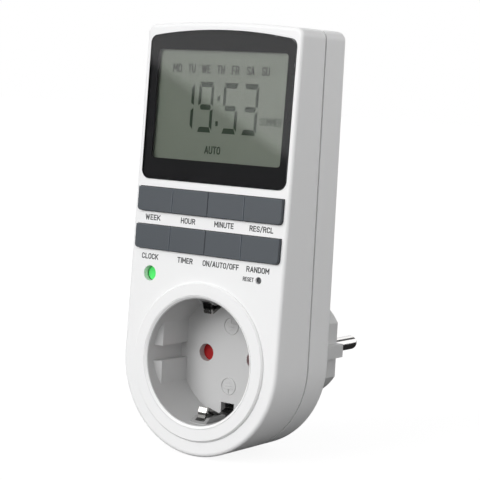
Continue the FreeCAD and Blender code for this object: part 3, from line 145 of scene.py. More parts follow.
def zone_shade_group():
    """Colour times a share inside one zone: less than Half from the plane X = 0, between two distances from
    the Y axis, and between two depths along it."""
    group, start, end = group_sockets(
        "zone shade", {"Colour": (0.8, 0.8, 0.8, 1), "Half": 1.0, "Inner": -1.0, "Outer": 1.0, "From": -1.0,
                       "To": 1.0, "Share": 1.0}, {"Colour": "NodeSocketColor"})
    links = group.links

    def step(kind, operation, *terms):
        node = group.nodes.new(kind)
        node.operation = operation
        for i, term in enumerate(terms):
            if isinstance(term, tuple):
                node.inputs[i].default_value = term
            else:
                links.new(term, node.inputs[i])
        return node

    axes = group.nodes.new("ShaderNodeSeparateXYZ")
    links.new(start.outputs["Position"], axes.inputs[0])
    level = step("ShaderNodeVectorMath", "MULTIPLY", start.outputs["Position"], (1, 0, 1))
    radius = step("ShaderNodeVectorMath", "LENGTH", level.outputs[0]).outputs["Value"]
    across = step("ShaderNodeMath", "ABSOLUTE", axes.outputs["X"]).outputs[0]
    tests = [("LESS_THAN", across, "Half"), ("GREATER_THAN", radius, "Inner"), ("LESS_THAN", radius, "Outer"),
             ("GREATER_THAN", axes.outputs["Y"], "From"), ("LESS_THAN", axes.outputs["Y"], "To")]
    inside = None
    for operation, value, limit in tests:
        test = step("ShaderNodeMath", operation, value, start.outputs[limit]).outputs[0]
        inside = test if inside is None else step("ShaderNodeMath", "MULTIPLY", inside, test).outputs[0]
    share = group.nodes.new("ShaderNodeMapRange")
    share.inputs["To Min"].default_value = 1.0
    links.new(inside, share.inputs["Value"])
    links.new(start.outputs["Share"], share.inputs["To Max"])
    scaled = group.nodes.new("ShaderNodeVectorMath")
    scaled.operation = "SCALE"
    links.new(start.outputs["Colour"], scaled.inputs[0])
    links.new(share.outputs["Result"], scaled.inputs["Scale"])
    links.new(scaled.outputs[0], end.inputs["Colour"])
    return group


zone_shade = zone_shade_group()


def shade_zone(material, **values):
    """Put one zone's shade between the colour so far and the shader."""
    tree = material.node_tree
    shader = tree.nodes["Principled BSDF"]
    colour = shader.inputs["Base Color"].links[0].from_socket
    shade = place(material, zone_shade, **values)
    tree.links.new(colour, shade.inputs["Colour"])
    tree.links.new(shade.outputs["Colour"], shader.inputs["Base Color"])


def moulded(name, colour, tint, gloss, depth, grain=2600.0, patch=35.0):
    """A moulded plastic: grain's colour and gloss on the shader, and its height through a Bump node."""
    material, tree, links, shader = new_material(name, colour, gloss)
    grained = place(material, moulded_grain, Colour=(*colour, 1), Tint=(*tint, 1), Gloss=gloss, Grain=grain,
                    Patch=patch)
    bump = tree.new("ShaderNodeBump")
    bump.inputs["Strength"].default_value = 0.35
    bump.inputs["Distance"].default_value = depth
    links.new(grained.outputs["Height"], bump.inputs["Height"])
    links.new(bump.outputs["Normal"], shader.inputs["Normal"])
    links.new(grained.outputs["Colour"], shader.inputs["Base Color"])
    links.new(grained.outputs["Roughness"], shader.inputs["Roughness"])
    return material


def dress(material, *names):
    """Give CAD nodes a material in place of the ones that they came with."""
    for name in names:
        data = nodes[name].data
        data.materials.clear()
        data.materials.append(material)


case_white = moulded("case white", (0.86, 0.86, 0.86), (0.84, 0.842, 0.845), 0.36, 0.00002)
plug_root, seam_front, seam_rear = -0.0280, -0.04138, -0.04062
# Painted shade: the plug, behind the case, is darkened.
shade_zone(case_white, From=plug_root, Share=0.74)
# Painted shade: the two faces inside the seam are darkened nearly to black.
shade_zone(case_white, From=seam_front, To=seam_rear, Share=0.06)
dress(case_white, "front_cover", "rear_cover")
cup_white = moulded("cup white", (0.86, 0.86, 0.86), (0.84, 0.84, 0.84), 0.32, 0.00001, grain=1800.0)
well_edge, lip_edge, lip_rear = 0.0202, 0.0209, -0.0601
rail_half, rail_top, rail_foot, rail_front, rail_rear = 0.0032, 0.0178, 0.0199, -0.0586, -0.044
# Painted shade: everything inside the well, behind its lip, is darkened.
shade_zone(cup_white, Outer=well_edge, From=lip_rear, Share=0.66)
# Painted highlight: the lip's bevel between the ring and the well is brightened.
shade_zone(cup_white, Inner=well_edge, Outer=lip_edge, Share=1.13)
# The flats and ramps of the rails under the earth clips are darkened to half.
shade_zone(cup_white, Half=rail_half, Inner=rail_top, Outer=rail_foot, From=rail_front, To=rail_rear,
           Share=0.5)
dress(cup_white, "socket_cup")


# The raised earth signs on the socket's floor
# Two signs moulded with the cup, one beside each earth clip: a ring round three bars and a stem that points
# to its clip. Each line stands 0.3 mm off the floor.
def surface(name, points, material, closed_u=False, closed_v=False):
    """A mesh over a grid of points (rows u, columns v), closed on itself where asked, put at the origin."""
    rows, columns = points.shape[:2]
    u = np.arange(rows if closed_u else rows - 1)
    v = np.arange(columns if closed_v else columns - 1)
    a, b = np.meshgrid(u, v, indexing="ij")
    c, d = (a + 1) % rows, (b + 1) % columns
    faces = np.stack([a * columns + b, c * columns + b, c * columns + d, a * columns + d], -1).reshape(-1, 4)
    return solid(name, points.reshape(-1, 3), faces, material)


def solid(name, points, faces, material, body="housing"):
    """A mesh piece from points in metres and faces, riding on a body."""
    data = bpy.data.meshes.new(name)
    data.from_pydata(points.tolist(), [], [list(map(int, face)) for face in faces])
    data.materials.append(material)
    data.update()
    piece = bpy.data.objects.new(name, data)
    bpy.context.scene.collection.objects.link(piece)
    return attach(piece, body)


def ridge(path, width, rise, closed):
    """A low rounded ridge along a path on the well's floor: its profile is a half ellipse, width across and
    rise high, carried square to the path. The path is (x, z) in millimetres, with its foot a little sunk."""
    floor, sunk = -41.4, 0.01
    path = np.asarray(path, float)
    if closed:
        along = np.roll(path, -1, 0) - np.roll(path, 1, 0)
    else:
        along = np.gradient(path, axis=0)
    along /= np.linalg.norm(along, axis=1)[:, None]
    across = np.stack([-along[:, 1], along[:, 0]], -1)
    turn = np.linspace(0, math.pi, 9)
    flat = path[:, None] + across[:, None] * (np.cos(turn) * width / 2)[None, :, None]
    lift = np.broadcast_to(np.sin(turn) * rise, flat.shape[:2])
    return np.stack([flat[..., 0], floor + sunk - lift, flat[..., 1]], -1) / 1000


def earth_sign(name, centre, way):
    """The ring, with the stem and three bars inside it; way is 1 where the stem points down, -1 up."""
    radius, width, rise = 2.75, 0.42, 0.30
    angle = np.linspace(0, 2 * math.pi, 73)[:-1]
    ring = ridge(np.stack([radius * np.cos(angle), centre + radius * np.sin(angle)], -1), width, rise, True)
    surface(f"{name}_ring", ring, cup_white, closed_u=True)
    for i, (half, level) in enumerate(((1.75, -0.85), (1.15, 0.2), (0.55, 1.25))):
        x = np.linspace(-half, half, 9)
        bar = ridge(np.stack([x, np.full(9, centre + way * level)], -1), width, rise, False)
        surface(f"{name}_bar_{i + 1}", bar, cup_white)
    z = np.linspace(centre + way * -2.35, centre + way * -0.85, 9)
    surface(f"{name}_stem", ridge(np.stack([np.zeros(9), z], -1), width, rise, False), cup_white)


earth_sign("earth_sign_low", -9.85, 1)
earth_sign("earth_sign_high", 9.85, -1)


# The function words under the keys
# Dark grey ink, printed on the finished cover in one pass and standing 0.02 mm off it. Each letter is a few
# strokes of a pen with square ends.
LEAN = math.radians(2.64)
FACE = -58.7


def on_face(x, depth, h):
    """Points in metres from places on the leaning face in millimetres: across, square in, up along it."""
    x, depth, h = np.broadcast_arrays(np.asarray(x, float), np.asarray(depth, float), np.asarray(h, float))
    y = FACE + depth * math.cos(LEAN) + h * math.sin(LEAN)
    z = -depth * math.sin(LEAN) + h * math.cos(LEAN)
    return np.stack([x, y, z], -1) / 1000


def bend(x, z, radius, start, stop, count=7):
    """Points along a quarter turn or more: centre plus radius by the cosine and sine of the angle."""
    angle = np.radians(np.linspace(start, stop, count))
    return np.stack([x + radius * np.cos(angle), z + radius * np.sin(angle)], -1)


def strokes():
    """Capitals as pen strokes in a box 0.56 wide and 1 high: straight runs, and quarter turns at round
    corners. Each letter is (width, strokes)."""
    w, r = 0.56, 0.24
    bowl = [bend(w - r, 1 - r, r, 90, 0), bend(w - r, 0.5 + r, r, 0, -90)]
    left_top, left_low = bend(r, 1 - r, r, 90, 180), bend(r, r, r, 180, 270)
    right_low, right_top = bend(w - r, r, r, 270, 360), bend(w - r, 1 - r, r, 0, 90)
    snake = [bend(w - r, 1 - r, r, 20, 90), bend(r, 0.5 + r, r, 90, 270), bend(w - r, r, r, 90, -90),
             bend(r, r, r, 270, 200)]
    joined = np.concatenate
    return {
        "A": (0.62, [[(0, 0), (0.31, 1)], [(0.31, 1), (0.62, 0)], [(0.1, 0.3), (0.52, 0.3)]]),
        "C": (w, [joined([bend(w - r, 1 - r, r, 10, 90), left_top, left_low,
                          bend(w - r, r, r, 270, 350)])]),
        "D": (w, [joined([[(0, 0), (0, 1)], bend(w - r, 1 - r, r, 90, 0), bend(w - r, r, r, 0, -90),
                          [(0, 0)]])]),
        "E": (0.46, [[(0.46, 1), (0, 1), (0, 0), (0.46, 0)], [(0, 0.5), (0.4, 0.5)]]),
        "F": (0.46, [[(0.46, 1), (0, 1), (0, 0)], [(0, 0.5), (0.4, 0.5)]]),
        "H": (w, [[(0, 0), (0, 1)], [(w, 0), (w, 1)], [(0, 0.5), (w, 0.5)]]),
        "I": (0.0, [[(0, 0), (0, 1)]]),
        "K": (w, [[(0, 0), (0, 1)], [(w, 1), (0.02, 0.42)], [(0.2, 0.53), (w, 0)]]),
        "L": (0.44, [[(0, 1), (0, 0), (0.44, 0)]]),
        "M": (0.7, [[(0, 0), (0, 1)], [(0, 1), (0.35, 0.35)], [(0.35, 0.35), (0.7, 1)],
                    [(0.7, 1), (0.7, 0)]]),
        "N": (w, [[(0, 0), (0, 1)], [(0, 1), (w, 0)], [(w, 0), (w, 1)]]),
        "O": (w, [joined([right_top, left_top, left_low, right_low, right_top[:1]])]),
        "R": (w, [joined([[(0, 0), (0, 1)], *bowl, [(0, 0.5)]]), [(w - r, 0.5), (w, 0)]]),
        "S": (w, [joined(snake)]),
        "T": (0.54, [[(0, 1), (0.54, 1)], [(0.27, 1), (0.27, 0)]]),
        "U": (w, [joined([[(0, 1)], left_low, right_low, [(w, 1)]])]),
        "W": (0.84, [[(0, 1), (0.21, 0)], [(0.21, 0), (0.42, 0.9)], [(0.42, 0.9), (0.63, 0)],
                     [(0.63, 0), (0.84, 1)]]),
        "/": (0.36, [[(0, -0.08), (0.36, 1.08)]]),
    }


LETTERS = strokes()


def pen(path, width):
    """A flat ribbon along a path: at each point both edges lie half a pen width out along the mitre, the
    mean of the normals of the two runs that meet there. The ends are cut square."""
    path = np.asarray(path, float)
    path = path[np.concatenate([[True], np.linalg.norm(np.diff(path, axis=0), axis=1) > 1e-6])]
    run = np.diff(path, axis=0)
    run /= np.linalg.norm(run, axis=1)[:, None]
    normal = np.stack([-run[:, 1], run[:, 0]], -1)
    if np.allclose(path[0], path[-1]):
        ahead, behind = np.vstack([normal, normal[:1]]), np.vstack([normal[-1:], normal])
    else:
        ahead, behind = np.vstack([normal, normal[-1:]]), np.vstack([normal[:1], normal])
        path[0] -= run[0] * width / 2 * 0.98
        path[-1] += run[-1] * width / 2 * 0.98
    mitre = ahead + behind
    mitre /= np.maximum((mitre * ahead).sum(1), 0.55)[:, None]
    return path + mitre * width / 2, path - mitre * width / 2


def lettering(name, words, material):
    """Words as ribbons in one flat mesh on the face, each (text, middle, foot, height, width, depth, pen).
    The letters stand one after another with even gaps, stretched so that the word has its width."""
    gap = 0.30
    points, faces, count = [], [], 0
    for text, middle, foot, height, width, depth, weight in words:
        spans = [LETTERS[letter][0] for letter in text]
        natural = sum(spans) + gap * (len(text) - 1)
        stretch = (width - weight) / (natural * (height - weight))
        start = -natural / 2
        for letter, span in zip(text, spans):
            for stroke in LETTERS[letter][1]:
                line = (np.asarray(stroke, float) + [start, 0]) * (height - weight) * [stretch, 1]
                upper, lower = pen(line, weight)
                n = len(upper)
                both = np.concatenate([upper, lower]) + [middle, foot + weight / 2]
                points.append(on_face(both[:, 0], depth, both[:, 1]))
                k = np.arange(n - 1) + count
                faces += np.stack([k, k + n, k + n + 1, k + 1], -1).tolist()
                count += 2 * n
            start += span + gap
    return solid(name, np.concatenate(points), faces, material)


ink = moulded("label ink", (0.035, 0.037, 0.040), (0.05, 0.052, 0.055), 0.6, 0.000005, grain=6000.0)
lift, cap, weight = -0.02, 1.8, 0.33
for row, foot, words in (
        ("upper", 42.95, (("WEEK", -22.2, 6.1), ("HOUR", -8.0, 5.7), ("MINUTE", 6.1, 7.5),
                          ("RES/RCL", 20.35, 8.9))),
        ("lower", 30.4, (("CLOCK", -22.2, 6.7), ("TIMER", -8.0, 6.1), ("ON/AUTO/OFF", 6.0, 14.0),
                         ("RANDOM", 20.2, 8.6)))):
    lettering(f"key_words_{row}", [(text, middle, foot, cap, width, lift, weight)
                                   for text, middle, width in words], ink)
lettering("reset_word", [("RESET", 16.9, 27.45, 1.35, 4.1, lift, 0.25)], ink)


# The display window
# A clear acrylic plate, arched along its top and sunk into the cover, with a black border printed on its
# back and round its edge. A black foam gasket behind the border closes the gap to the panel; its black also
# stands in for the shade along the opening's walls.
def window_outline(half, low, top, bow, low_corner, top_corner, share=24):
    """The closed outline of a plate with upright sides, a straight foot and a top that is an arc of radius
    bow, with rounded corners: five arcs joined end to end, each with its own centre and radius."""
    reach = half - top_corner
    hub = top - bow
    rise = hub + math.sqrt((bow - top_corner) ** 2 - reach ** 2)
    lean = math.atan2(rise - hub, reach)
    turn = np.linspace(0, 1, share)
    arcs = [
        (half - low_corner, low + low_corner, low_corner, -math.pi / 2 + turn * math.pi / 2),
        (reach, rise, top_corner, turn * lean),
        (0, hub, bow, lean + turn * (math.pi - 2 * lean)),
        (-reach, rise, top_corner, math.pi - lean + turn * lean),
        (low_corner - half, low + low_corner, low_corner, math.pi + turn * math.pi / 2),
    ]
    return np.concatenate([np.stack([x + r * np.cos(a), z + r * np.sin(a)], -1) for x, z, r, a in arcs])


def band(name, outlines, material):
    """Outlines of equal count at their own depths, joined one to the next as a closed band."""
    rows = [on_face(line[:, 0], depth, line[:, 1]) for line, depth in outlines]
    return surface(name, np.stack(rows), material, closed_v=True)


window_clear, tree, links, shader = new_material("window acrylic", (1, 1, 1), 0.02)
shader.inputs["Transmission Weight"].default_value = 1
shader.inputs["IOR"].default_value = 1.49
haze = place(window_clear, moulded_grain, Colour=(1, 1, 1, 1), Tint=(0.97, 0.98, 0.98, 1), Gloss=0.015,
             Gloss_drift=0.008, Grain=900.0, Patch=60.0)
links.new(haze.outputs["Colour"], shader.inputs["Base Color"])
links.new(haze.outputs["Roughness"], shader.inputs["Roughness"])
rays = tree.new("ShaderNodeLightPath")
pass_light = tree.new("ShaderNodeBsdfTransparent")
mixed = tree.new("ShaderNodeMixShader")
links.new(rays.outputs["Is Shadow Ray"], mixed.inputs["Fac"])
links.new(shader.outputs["BSDF"], mixed.inputs[1])
links.new(pass_light.outputs["BSDF"], mixed.inputs[2])
links.new(mixed.outputs["Shader"], tree["Material Output"].inputs["Surface"])
dress(window_clear, "display_window")

print_black = moulded("border print", (0.010, 0.010, 0.011), (0.014, 0.014, 0.015), 0.6, 0.0000002,
                      grain=5000.0)
print_black.node_tree.nodes["Principled BSDF"].inputs["Specular IOR Level"].default_value = 0.05
plate = window_outline(28.06, 56.24, 104.26, 169.0, 3.0, 2.5)
nearly_flat = 9000.0
sight = window_outline(25.0, 63.1, 97.9, nearly_flat, 1.2, 1.2)
lip = window_outline(25.55, 63.1, 97.9, nearly_flat, 1.2, 1.2)
seat = window_outline(25.85, 62.8, 98.0, nearly_flat, 1.4, 1.4)
print_depth, foam_front, foam_back = 0.88, 0.95, 2.05
band("window_print", [(plate, -0.1), (plate, print_depth), (sight, print_depth)], print_black)
# The gasket's black foam also stands in for the shade in the opening round the panel.
band("window_gasket_shade", [(lip, foam_front), (lip, foam_back), (seat, foam_back), (seat, foam_front),
                       (lip, foam_front)],
     moulded("gasket foam as shade", (0.02, 0.02, 0.02), (0.035, 0.035, 0.035), 0.85, 0.0001, grain=4000.0))


# The liquid crystal panel and what it shows
# Glass in front of a grey-green reflector, held in a black frame, with a rubber connector along its foot.
# Its segments are a dark film at the front of the glass.
def panel_material():
    """Grey-green glass: its tone and gloss drift slowly, over a fine and very shallow grain."""
    material, tree, links, shader = new_material("panel glass", (0.115, 0.125, 0.100), 0.2)
    grained = place(material, moulded_grain, Colour=(0.116, 0.130, 0.105, 1), Tint=(0.104, 0.120, 0.094, 1),
                    Gloss=0.12, Gloss_drift=0.04, Grain=5000.0, Patch=45.0)
    links.new(grained.outputs["Colour"], shader.inputs["Base Color"])
    links.new(grained.outputs["Roughness"], shader.inputs["Roughness"])
    bump = tree.new("ShaderNodeBump")
    bump.inputs["Strength"].default_value = 0.1
    bump.inputs["Distance"].default_value = 0.00001
    links.new(grained.outputs["Height"], bump.inputs["Height"])
    links.new(bump.outputs["Normal"], shader.inputs["Normal"])
    return material


dress(panel_material(), "lcd_panel")
film = moulded("segment film", (0.014, 0.022, 0.013), (0.018, 0.027, 0.017), 0.5, 0.000001, grain=5000.0)
film_pale = moulded("segment film, small words", (0.022, 0.026, 0.021), (0.028, 0.032, 0.026), 0.5, 0.000001,
                    grain=5000.0)
for material in (film, film_pale):
    material.node_tree.nodes["Principled BSDF"].inputs["Specular IOR Level"].default_value = 0.1


def digit_segments(left, low, lit_ones, width=5.85, height=15.9, bar=1.7, post=1.08):
    """The lit segments of one numeral, as corners (across, up) in millimetres. A level bar is a trapezoid
    whose inner edge is 0.6 shorter at each end, the waist is a hexagon, and an upright has slanting ends."""
    right, top, middle, half = left + width, low + height, low + height / 2, height / 2
    level = np.array([[0.35, 0], [width - 0.35, 0], [width - 0.95, bar], [0.95, bar]])
    upright = np.array([[0, 0.75], [0, half - 0.45], [post, half - 1.15], [post, bar + 0.3]])
    waist = np.array([[0.75, 0], [1.15, 0.85], [width - 1.15, 0.85], [width - 0.75, 0],
                      [width - 1.15, -0.85], [1.15, -0.85]])
    shapes = {
        "top": level * [1, -1] + [left, top],
        "foot": level + [left, low],
        "waist": waist + [left, middle],
        "low_left": upright + [left, low],
        "low_right": upright * [-1, 1] + [right, low],
        "high_left": upright * [1, -1] + [left, top],
        "high_right": upright * [-1, -1] + [right, top],
    }
    return [shapes[name] for name in lit_ones]


def film_plate(name, shapes, material, depth=2.06):
    """Flat shapes side by side in one mesh: each is one face with its corners ordered to face outwards."""
    points, faces, count = [], [], 0
    for shape in shapes:
        x, z = shape[:, 0], shape[:, 1]
        area = np.sum(x * np.roll(z, -1) - z * np.roll(x, -1))
        shape = shape if area > 0 else shape[::-1]
        points.append(on_face(shape[:, 0], depth, shape[:, 1]))
        faces.append(range(count, count + len(shape)))
        count += len(shape)
    return solid(name, np.concatenate(points), faces, material)


LIT = {
    "1": ("high_right", "low_right"),
    "9": ("top", "foot", "waist", "high_left", "high_right", "low_right"),
    "5": ("top", "foot", "waist", "high_left", "low_right"),
    "3": ("top", "foot", "waist", "high_right", "low_right"),
}
clock_foot = 72.2
hours = digit_segments(-16.3, clock_foot, LIT["1"]) + digit_segments(-8.7, clock_foot, LIT["9"])
minutes = digit_segments(0.9, clock_foot, LIT["5"]) + digit_segments(8.55, clock_foot, LIT["3"])
film_plate("clock_hours", hours, film)
film_plate("clock_minutes", minutes, film)
dot = np.array([[-0.5, -0.75], [0.5, -0.75], [0.5, 0.75], [-0.5, 0.75]])
film_plate("clock_colon", [dot + [-0.85, 83.0], dot + [-0.95, 75.2]], film)
DAYS = ("MO", "TU", "WE", "TH", "FR", "SA", "SU")
first_day, day_pitch, glass_front = -18.0, 5.72, 2.06
lettering("day_row", [(day, first_day + day_pitch * i, 90.7, 2.8, 3.6 if day in ("WE", "MO") else 3.0,
                       glass_front, 0.44) for i, day in enumerate(DAYS)], film_pale)
lettering("mode_word", [("AUTO", -1.8, 65.55, 2.45, 6.2, glass_front, 0.44)], film)
lettering("season_word", [("SUMMER", 19.6, 75.5, 2.4, 7.8, glass_front, 0.27)], film)

dress(moulded("reflector foil", (0.5, 0.52, 0.49), (0.55, 0.56, 0.54), 0.3, 0.00002, grain=1500.0),
      "lcd_backing")
dress(moulded("frame black", (0.02, 0.02, 0.021), (0.03, 0.03, 0.032), 0.45, 0.00002), "lcd_frame")


def zebra_material():
    """Rubber connector: thin black conducting leaves between pink insulating ones, by a wave across it."""
    material, tree, links, shader = new_material("zebra rubber", (0.5, 0.4, 0.42), 0.7)
    wave = tree.new("ShaderNodeTexWave")
    wave.bands_direction = "X"
    wave.inputs["Scale"].default_value = 320.0
    ramp = tree.new("ShaderNodeValToRGB")
    ramp.color_ramp.elements[0].position = 0.45
    ramp.color_ramp.elements[0].color = (0.02, 0.02, 0.02, 1)
    ramp.color_ramp.elements[1].position = 0.55
    ramp.color_ramp.elements[1].color = (0.6, 0.42, 0.45, 1)
    where = tree.new("ShaderNodeTexCoord")
    links.new(where.outputs["Object"], wave.inputs["Vector"])
    links.new(wave.outputs["Fac"], ramp.inputs["Fac"])
    links.new(ramp.outputs["Color"], shader.inputs["Base Color"])
    return material


dress(zebra_material(), "lcd_connector")


# The keys
# Eight slate grey caps in two rows and a small reset button, moulded in a matt plastic. The sides that meet
# at a row's quarters carry a painted highlight, so that the gaps there look fainter than the one at its
# middle.
key_slate = moulded("key slate", (0.058, 0.068, 0.079), (0.068, 0.078, 0.090), 0.42, 0.00003, grain=2200.0)
quarter, side_reach, painted_seam_light = 0.014, 0.00028, 1.7
# Painted highlight on a band 0.28 mm either side of each quarter; the second zone undoes it inside the band.
shade_zone(key_slate, Half=quarter + side_reach, Share=painted_seam_light)
shade_zone(key_slate, Half=quarter - side_reach, Share=1 / painted_seam_light)
key_names = [f"key_{row}_{i}" for row in ("upper", "lower") for i in (1, 2, 3, 4)]
dress(key_slate, *key_names)
dress(moulded("reset grey", (0.055, 0.058, 0.062), (0.07, 0.072, 0.076), 0.5, 0.00003), "reset_button")
plunger_names = [f"plunger_{row}_{i}" for row in ("upper", "lower") for i in (1, 2, 3, 4)]
dress(moulded("plunger cream", (0.58, 0.55, 0.46), (0.62, 0.59, 0.51), 0.5, 0.00002), *plunger_names,
      "reset_plunger")
dress(moulded("switch black", (0.022, 0.022, 0.024), (0.03, 0.03, 0.032), 0.4, 0.00003), "key_switches",
      "reset_switch")


# The lamp
# A green light guide with a domed end, lit from behind by a chip on the board and sunk 2 mm into its hole.
def lamp_material():
    """Bright green with a broad drift, a faint glow of its own and a clear gloss."""
    material, tree, links, shader = new_material("lamp green", (0.07, 0.62, 0.12), 0.25)
    grained = place(material, moulded_grain, Colour=(0.05, 0.60, 0.10, 1), Tint=(0.09, 0.72, 0.16, 1),
                    Gloss=0.2, Gloss_drift=0.1, Grain=1500.0, Patch=400.0)
    links.new(grained.outputs["Colour"], shader.inputs["Base Color"])
    links.new(grained.outputs["Roughness"], shader.inputs["Roughness"])
    links.new(grained.outputs["Colour"], shader.inputs["Emission Color"])
    shader.inputs["Emission Strength"].default_value = 0.27
    shader.inputs["Coat Weight"].default_value = 0.4
    return material


dress(lamp_material(), "indicator_led")


# The metal parts
# Nickel-plated brass pins and earth strips, plain brass contacts, and zinc-plated steel for the screws, the
# yoke, the crystal's can and the backup cell. Deep in the well the strips are darkened with painted shade.
def drawn_metal_group():
    """Tool marks: noise stretched along one axis gives the height and the gloss, broad noise the tarnish."""
    group, start, end = group_sockets(
        "drawn metal", {"Colour": (0.7, 0.7, 0.7, 1), "Tarnish": (0.5, 0.5, 0.5, 1), "Marks": 900.0,
                        "Gloss": 0.2, "Gloss drift": 0.15},
        {"Colour": "NodeSocketColor", "Roughness": "NodeSocketFloat", "Height": "NodeSocketFloat"})
    links = group.links
    stretch = group.nodes.new("ShaderNodeMapping")
    stretch.inputs["Scale"].default_value = (1.0, 0.12, 1.0)
    marks = group.nodes.new("ShaderNodeTexNoise")
    marks.inputs["Detail"].default_value = 5
    stain = group.nodes.new("ShaderNodeTexNoise")
    stain.inputs["Scale"].default_value = 120.0
    stain.inputs["Detail"].default_value = 4
    links.new(start.outputs["Position"], stretch.inputs["Vector"])
    links.new(stretch.outputs["Vector"], marks.inputs["Vector"])
    links.new(start.outputs["Marks"], marks.inputs["Scale"])
    links.new(start.outputs["Position"], stain.inputs["Vector"])
    share = group.nodes.new("ShaderNodeMapRange")
    share.inputs["From Min"].default_value = 0.45
    share.inputs["From Max"].default_value = 0.8
    links.new(stain.outputs["Fac"], share.inputs["Value"])
    blend = group.nodes.new("ShaderNodeMix")
    blend.data_type = "RGBA"
    links.new(share.outputs["Result"], blend.inputs["Factor"])
    links.new(start.outputs["Colour"], blend.inputs["A"])
    links.new(start.outputs["Tarnish"], blend.inputs["B"])
    gloss = group.nodes.new("ShaderNodeMath")
    gloss.operation = "MULTIPLY_ADD"
    links.new(marks.outputs["Fac"], gloss.inputs[0])
    links.new(start.outputs["Gloss drift"], gloss.inputs[1])
    links.new(start.outputs["Gloss"], gloss.inputs[2])
    links.new(blend.outputs["Result"], end.inputs["Colour"])
    links.new(gloss.outputs["Value"], end.inputs["Roughness"])
    links.new(marks.outputs["Fac"], end.inputs["Height"])
    return group


drawn_metal = drawn_metal_group()


def metal(name, colour, tarnish, gloss, depth, marks=900.0):
    """A metal with its tool marks' colour, gloss and height."""
    material, tree, links, shader = new_material(name, colour, gloss)
    shader.inputs["Metallic"].default_value = 1
    drawn = place(material, drawn_metal, Colour=(*colour, 1), Tarnish=(*tarnish, 1), Gloss=gloss, Marks=marks)
    bump = tree.new("ShaderNodeBump")
    bump.inputs["Strength"].default_value = 0.3
    bump.inputs["Distance"].default_value = depth
    links.new(drawn.outputs["Height"], bump.inputs["Height"])
    links.new(bump.outputs["Normal"], shader.inputs["Normal"])
    links.new(drawn.outputs["Colour"], shader.inputs["Base Color"])
    links.new(drawn.outputs["Roughness"], shader.inputs["Roughness"])
    return material


dress(metal("pin nickel", (0.93, 0.92, 0.91), (0.86, 0.85, 0.83), 0.08, 0.000006), "live_pin", "neutral_pin")
strip_nickel = metal("strip nickel", (0.78, 0.77, 0.75), (0.64, 0.62, 0.59), 0.18, 0.00002)
tail_top, tail_bend, nose_rear, floor_rear = 0.0166, 0.0174, -0.0538, -0.040
# Painted shade: each strip in the well is darkened, all but its nose's tip.
shade_zone(strip_nickel, Inner=tail_top, To=floor_rear, Share=0.28)
# Painted shade, deeper, on the part in front of the nose.
shade_zone(strip_nickel, Inner=tail_top, To=nose_rear, Share=0.5)
# Painted shadow: a dark band just below the bright tip of the nose.
shade_zone(strip_nickel, Inner=tail_top, Outer=tail_bend, To=nose_rear, Share=0.25)
# Painted shade on the part behind the front of the nose.
shade_zone(strip_nickel, From=nose_rear, To=floor_rear, Share=0.35)
dress(strip_nickel, "earth_strip_upper", "earth_strip_lower")
dress(metal("contact brass", (0.78, 0.60, 0.26), (0.62, 0.43, 0.17), 0.22, 0.00002), "live_contact",
      "neutral_contact", "neutral_link")
dress(metal("zinc steel", (0.62, 0.63, 0.64), (0.48, 0.48, 0.47), 0.25, 0.00002), "case_screws",
      "board_screws", "power_board_screws", "earth_yoke", "crystal", "backup_cell")


# The shutter and its carrier
# A red shutter turns behind the two pin holes on a post of the grey carrier. A coil of spring wire round
# the post brings it back.
dress(moulded("shutter red", (0.38, 0.004, 0.006), (0.44, 0.006, 0.008), 0.35, 0.00002), "safety_shutter")
dress(moulded("carrier grey", (0.36, 0.36, 0.35), (0.40, 0.40, 0.39), 0.5, 0.00003), "contact_carrier")
spring_low, spring_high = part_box("shutter_spring")
spring_middle = (spring_low + spring_high) / 2
wire = 0.00028
coil_radius = (spring_high.x - spring_low.x) / 2 - wire
coil_turns = 3.5
along = np.linspace(0, 1, 240)
sweep = along * coil_turns * 2 * math.pi
centre = np.stack([spring_middle.x + coil_radius * np.cos(sweep),
                   spring_low.y + wire + along * (spring_high.y - spring_low.y - 2 * wire),
                   spring_middle.z + coil_radius * np.sin(sweep)], -1)
outward = np.stack([np.cos(sweep), np.zeros_like(sweep), np.sin(sweep)], -1)
ring_turn = np.linspace(0, 2 * math.pi, 11)[:-1]
tube = (centre[:, None] + wire * np.cos(ring_turn)[None, :, None] * outward[:, None]
        + wire * np.sin(ring_turn)[None, :, None] * np.array([0, 1, 0]))
spring_steel = metal("spring steel", (0.55, 0.55, 0.56), (0.42, 0.41, 0.40), 0.2, 0.00001)
coil = surface("return_coil", tube, spring_steel, closed_v=True)
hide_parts("shutter_spring")


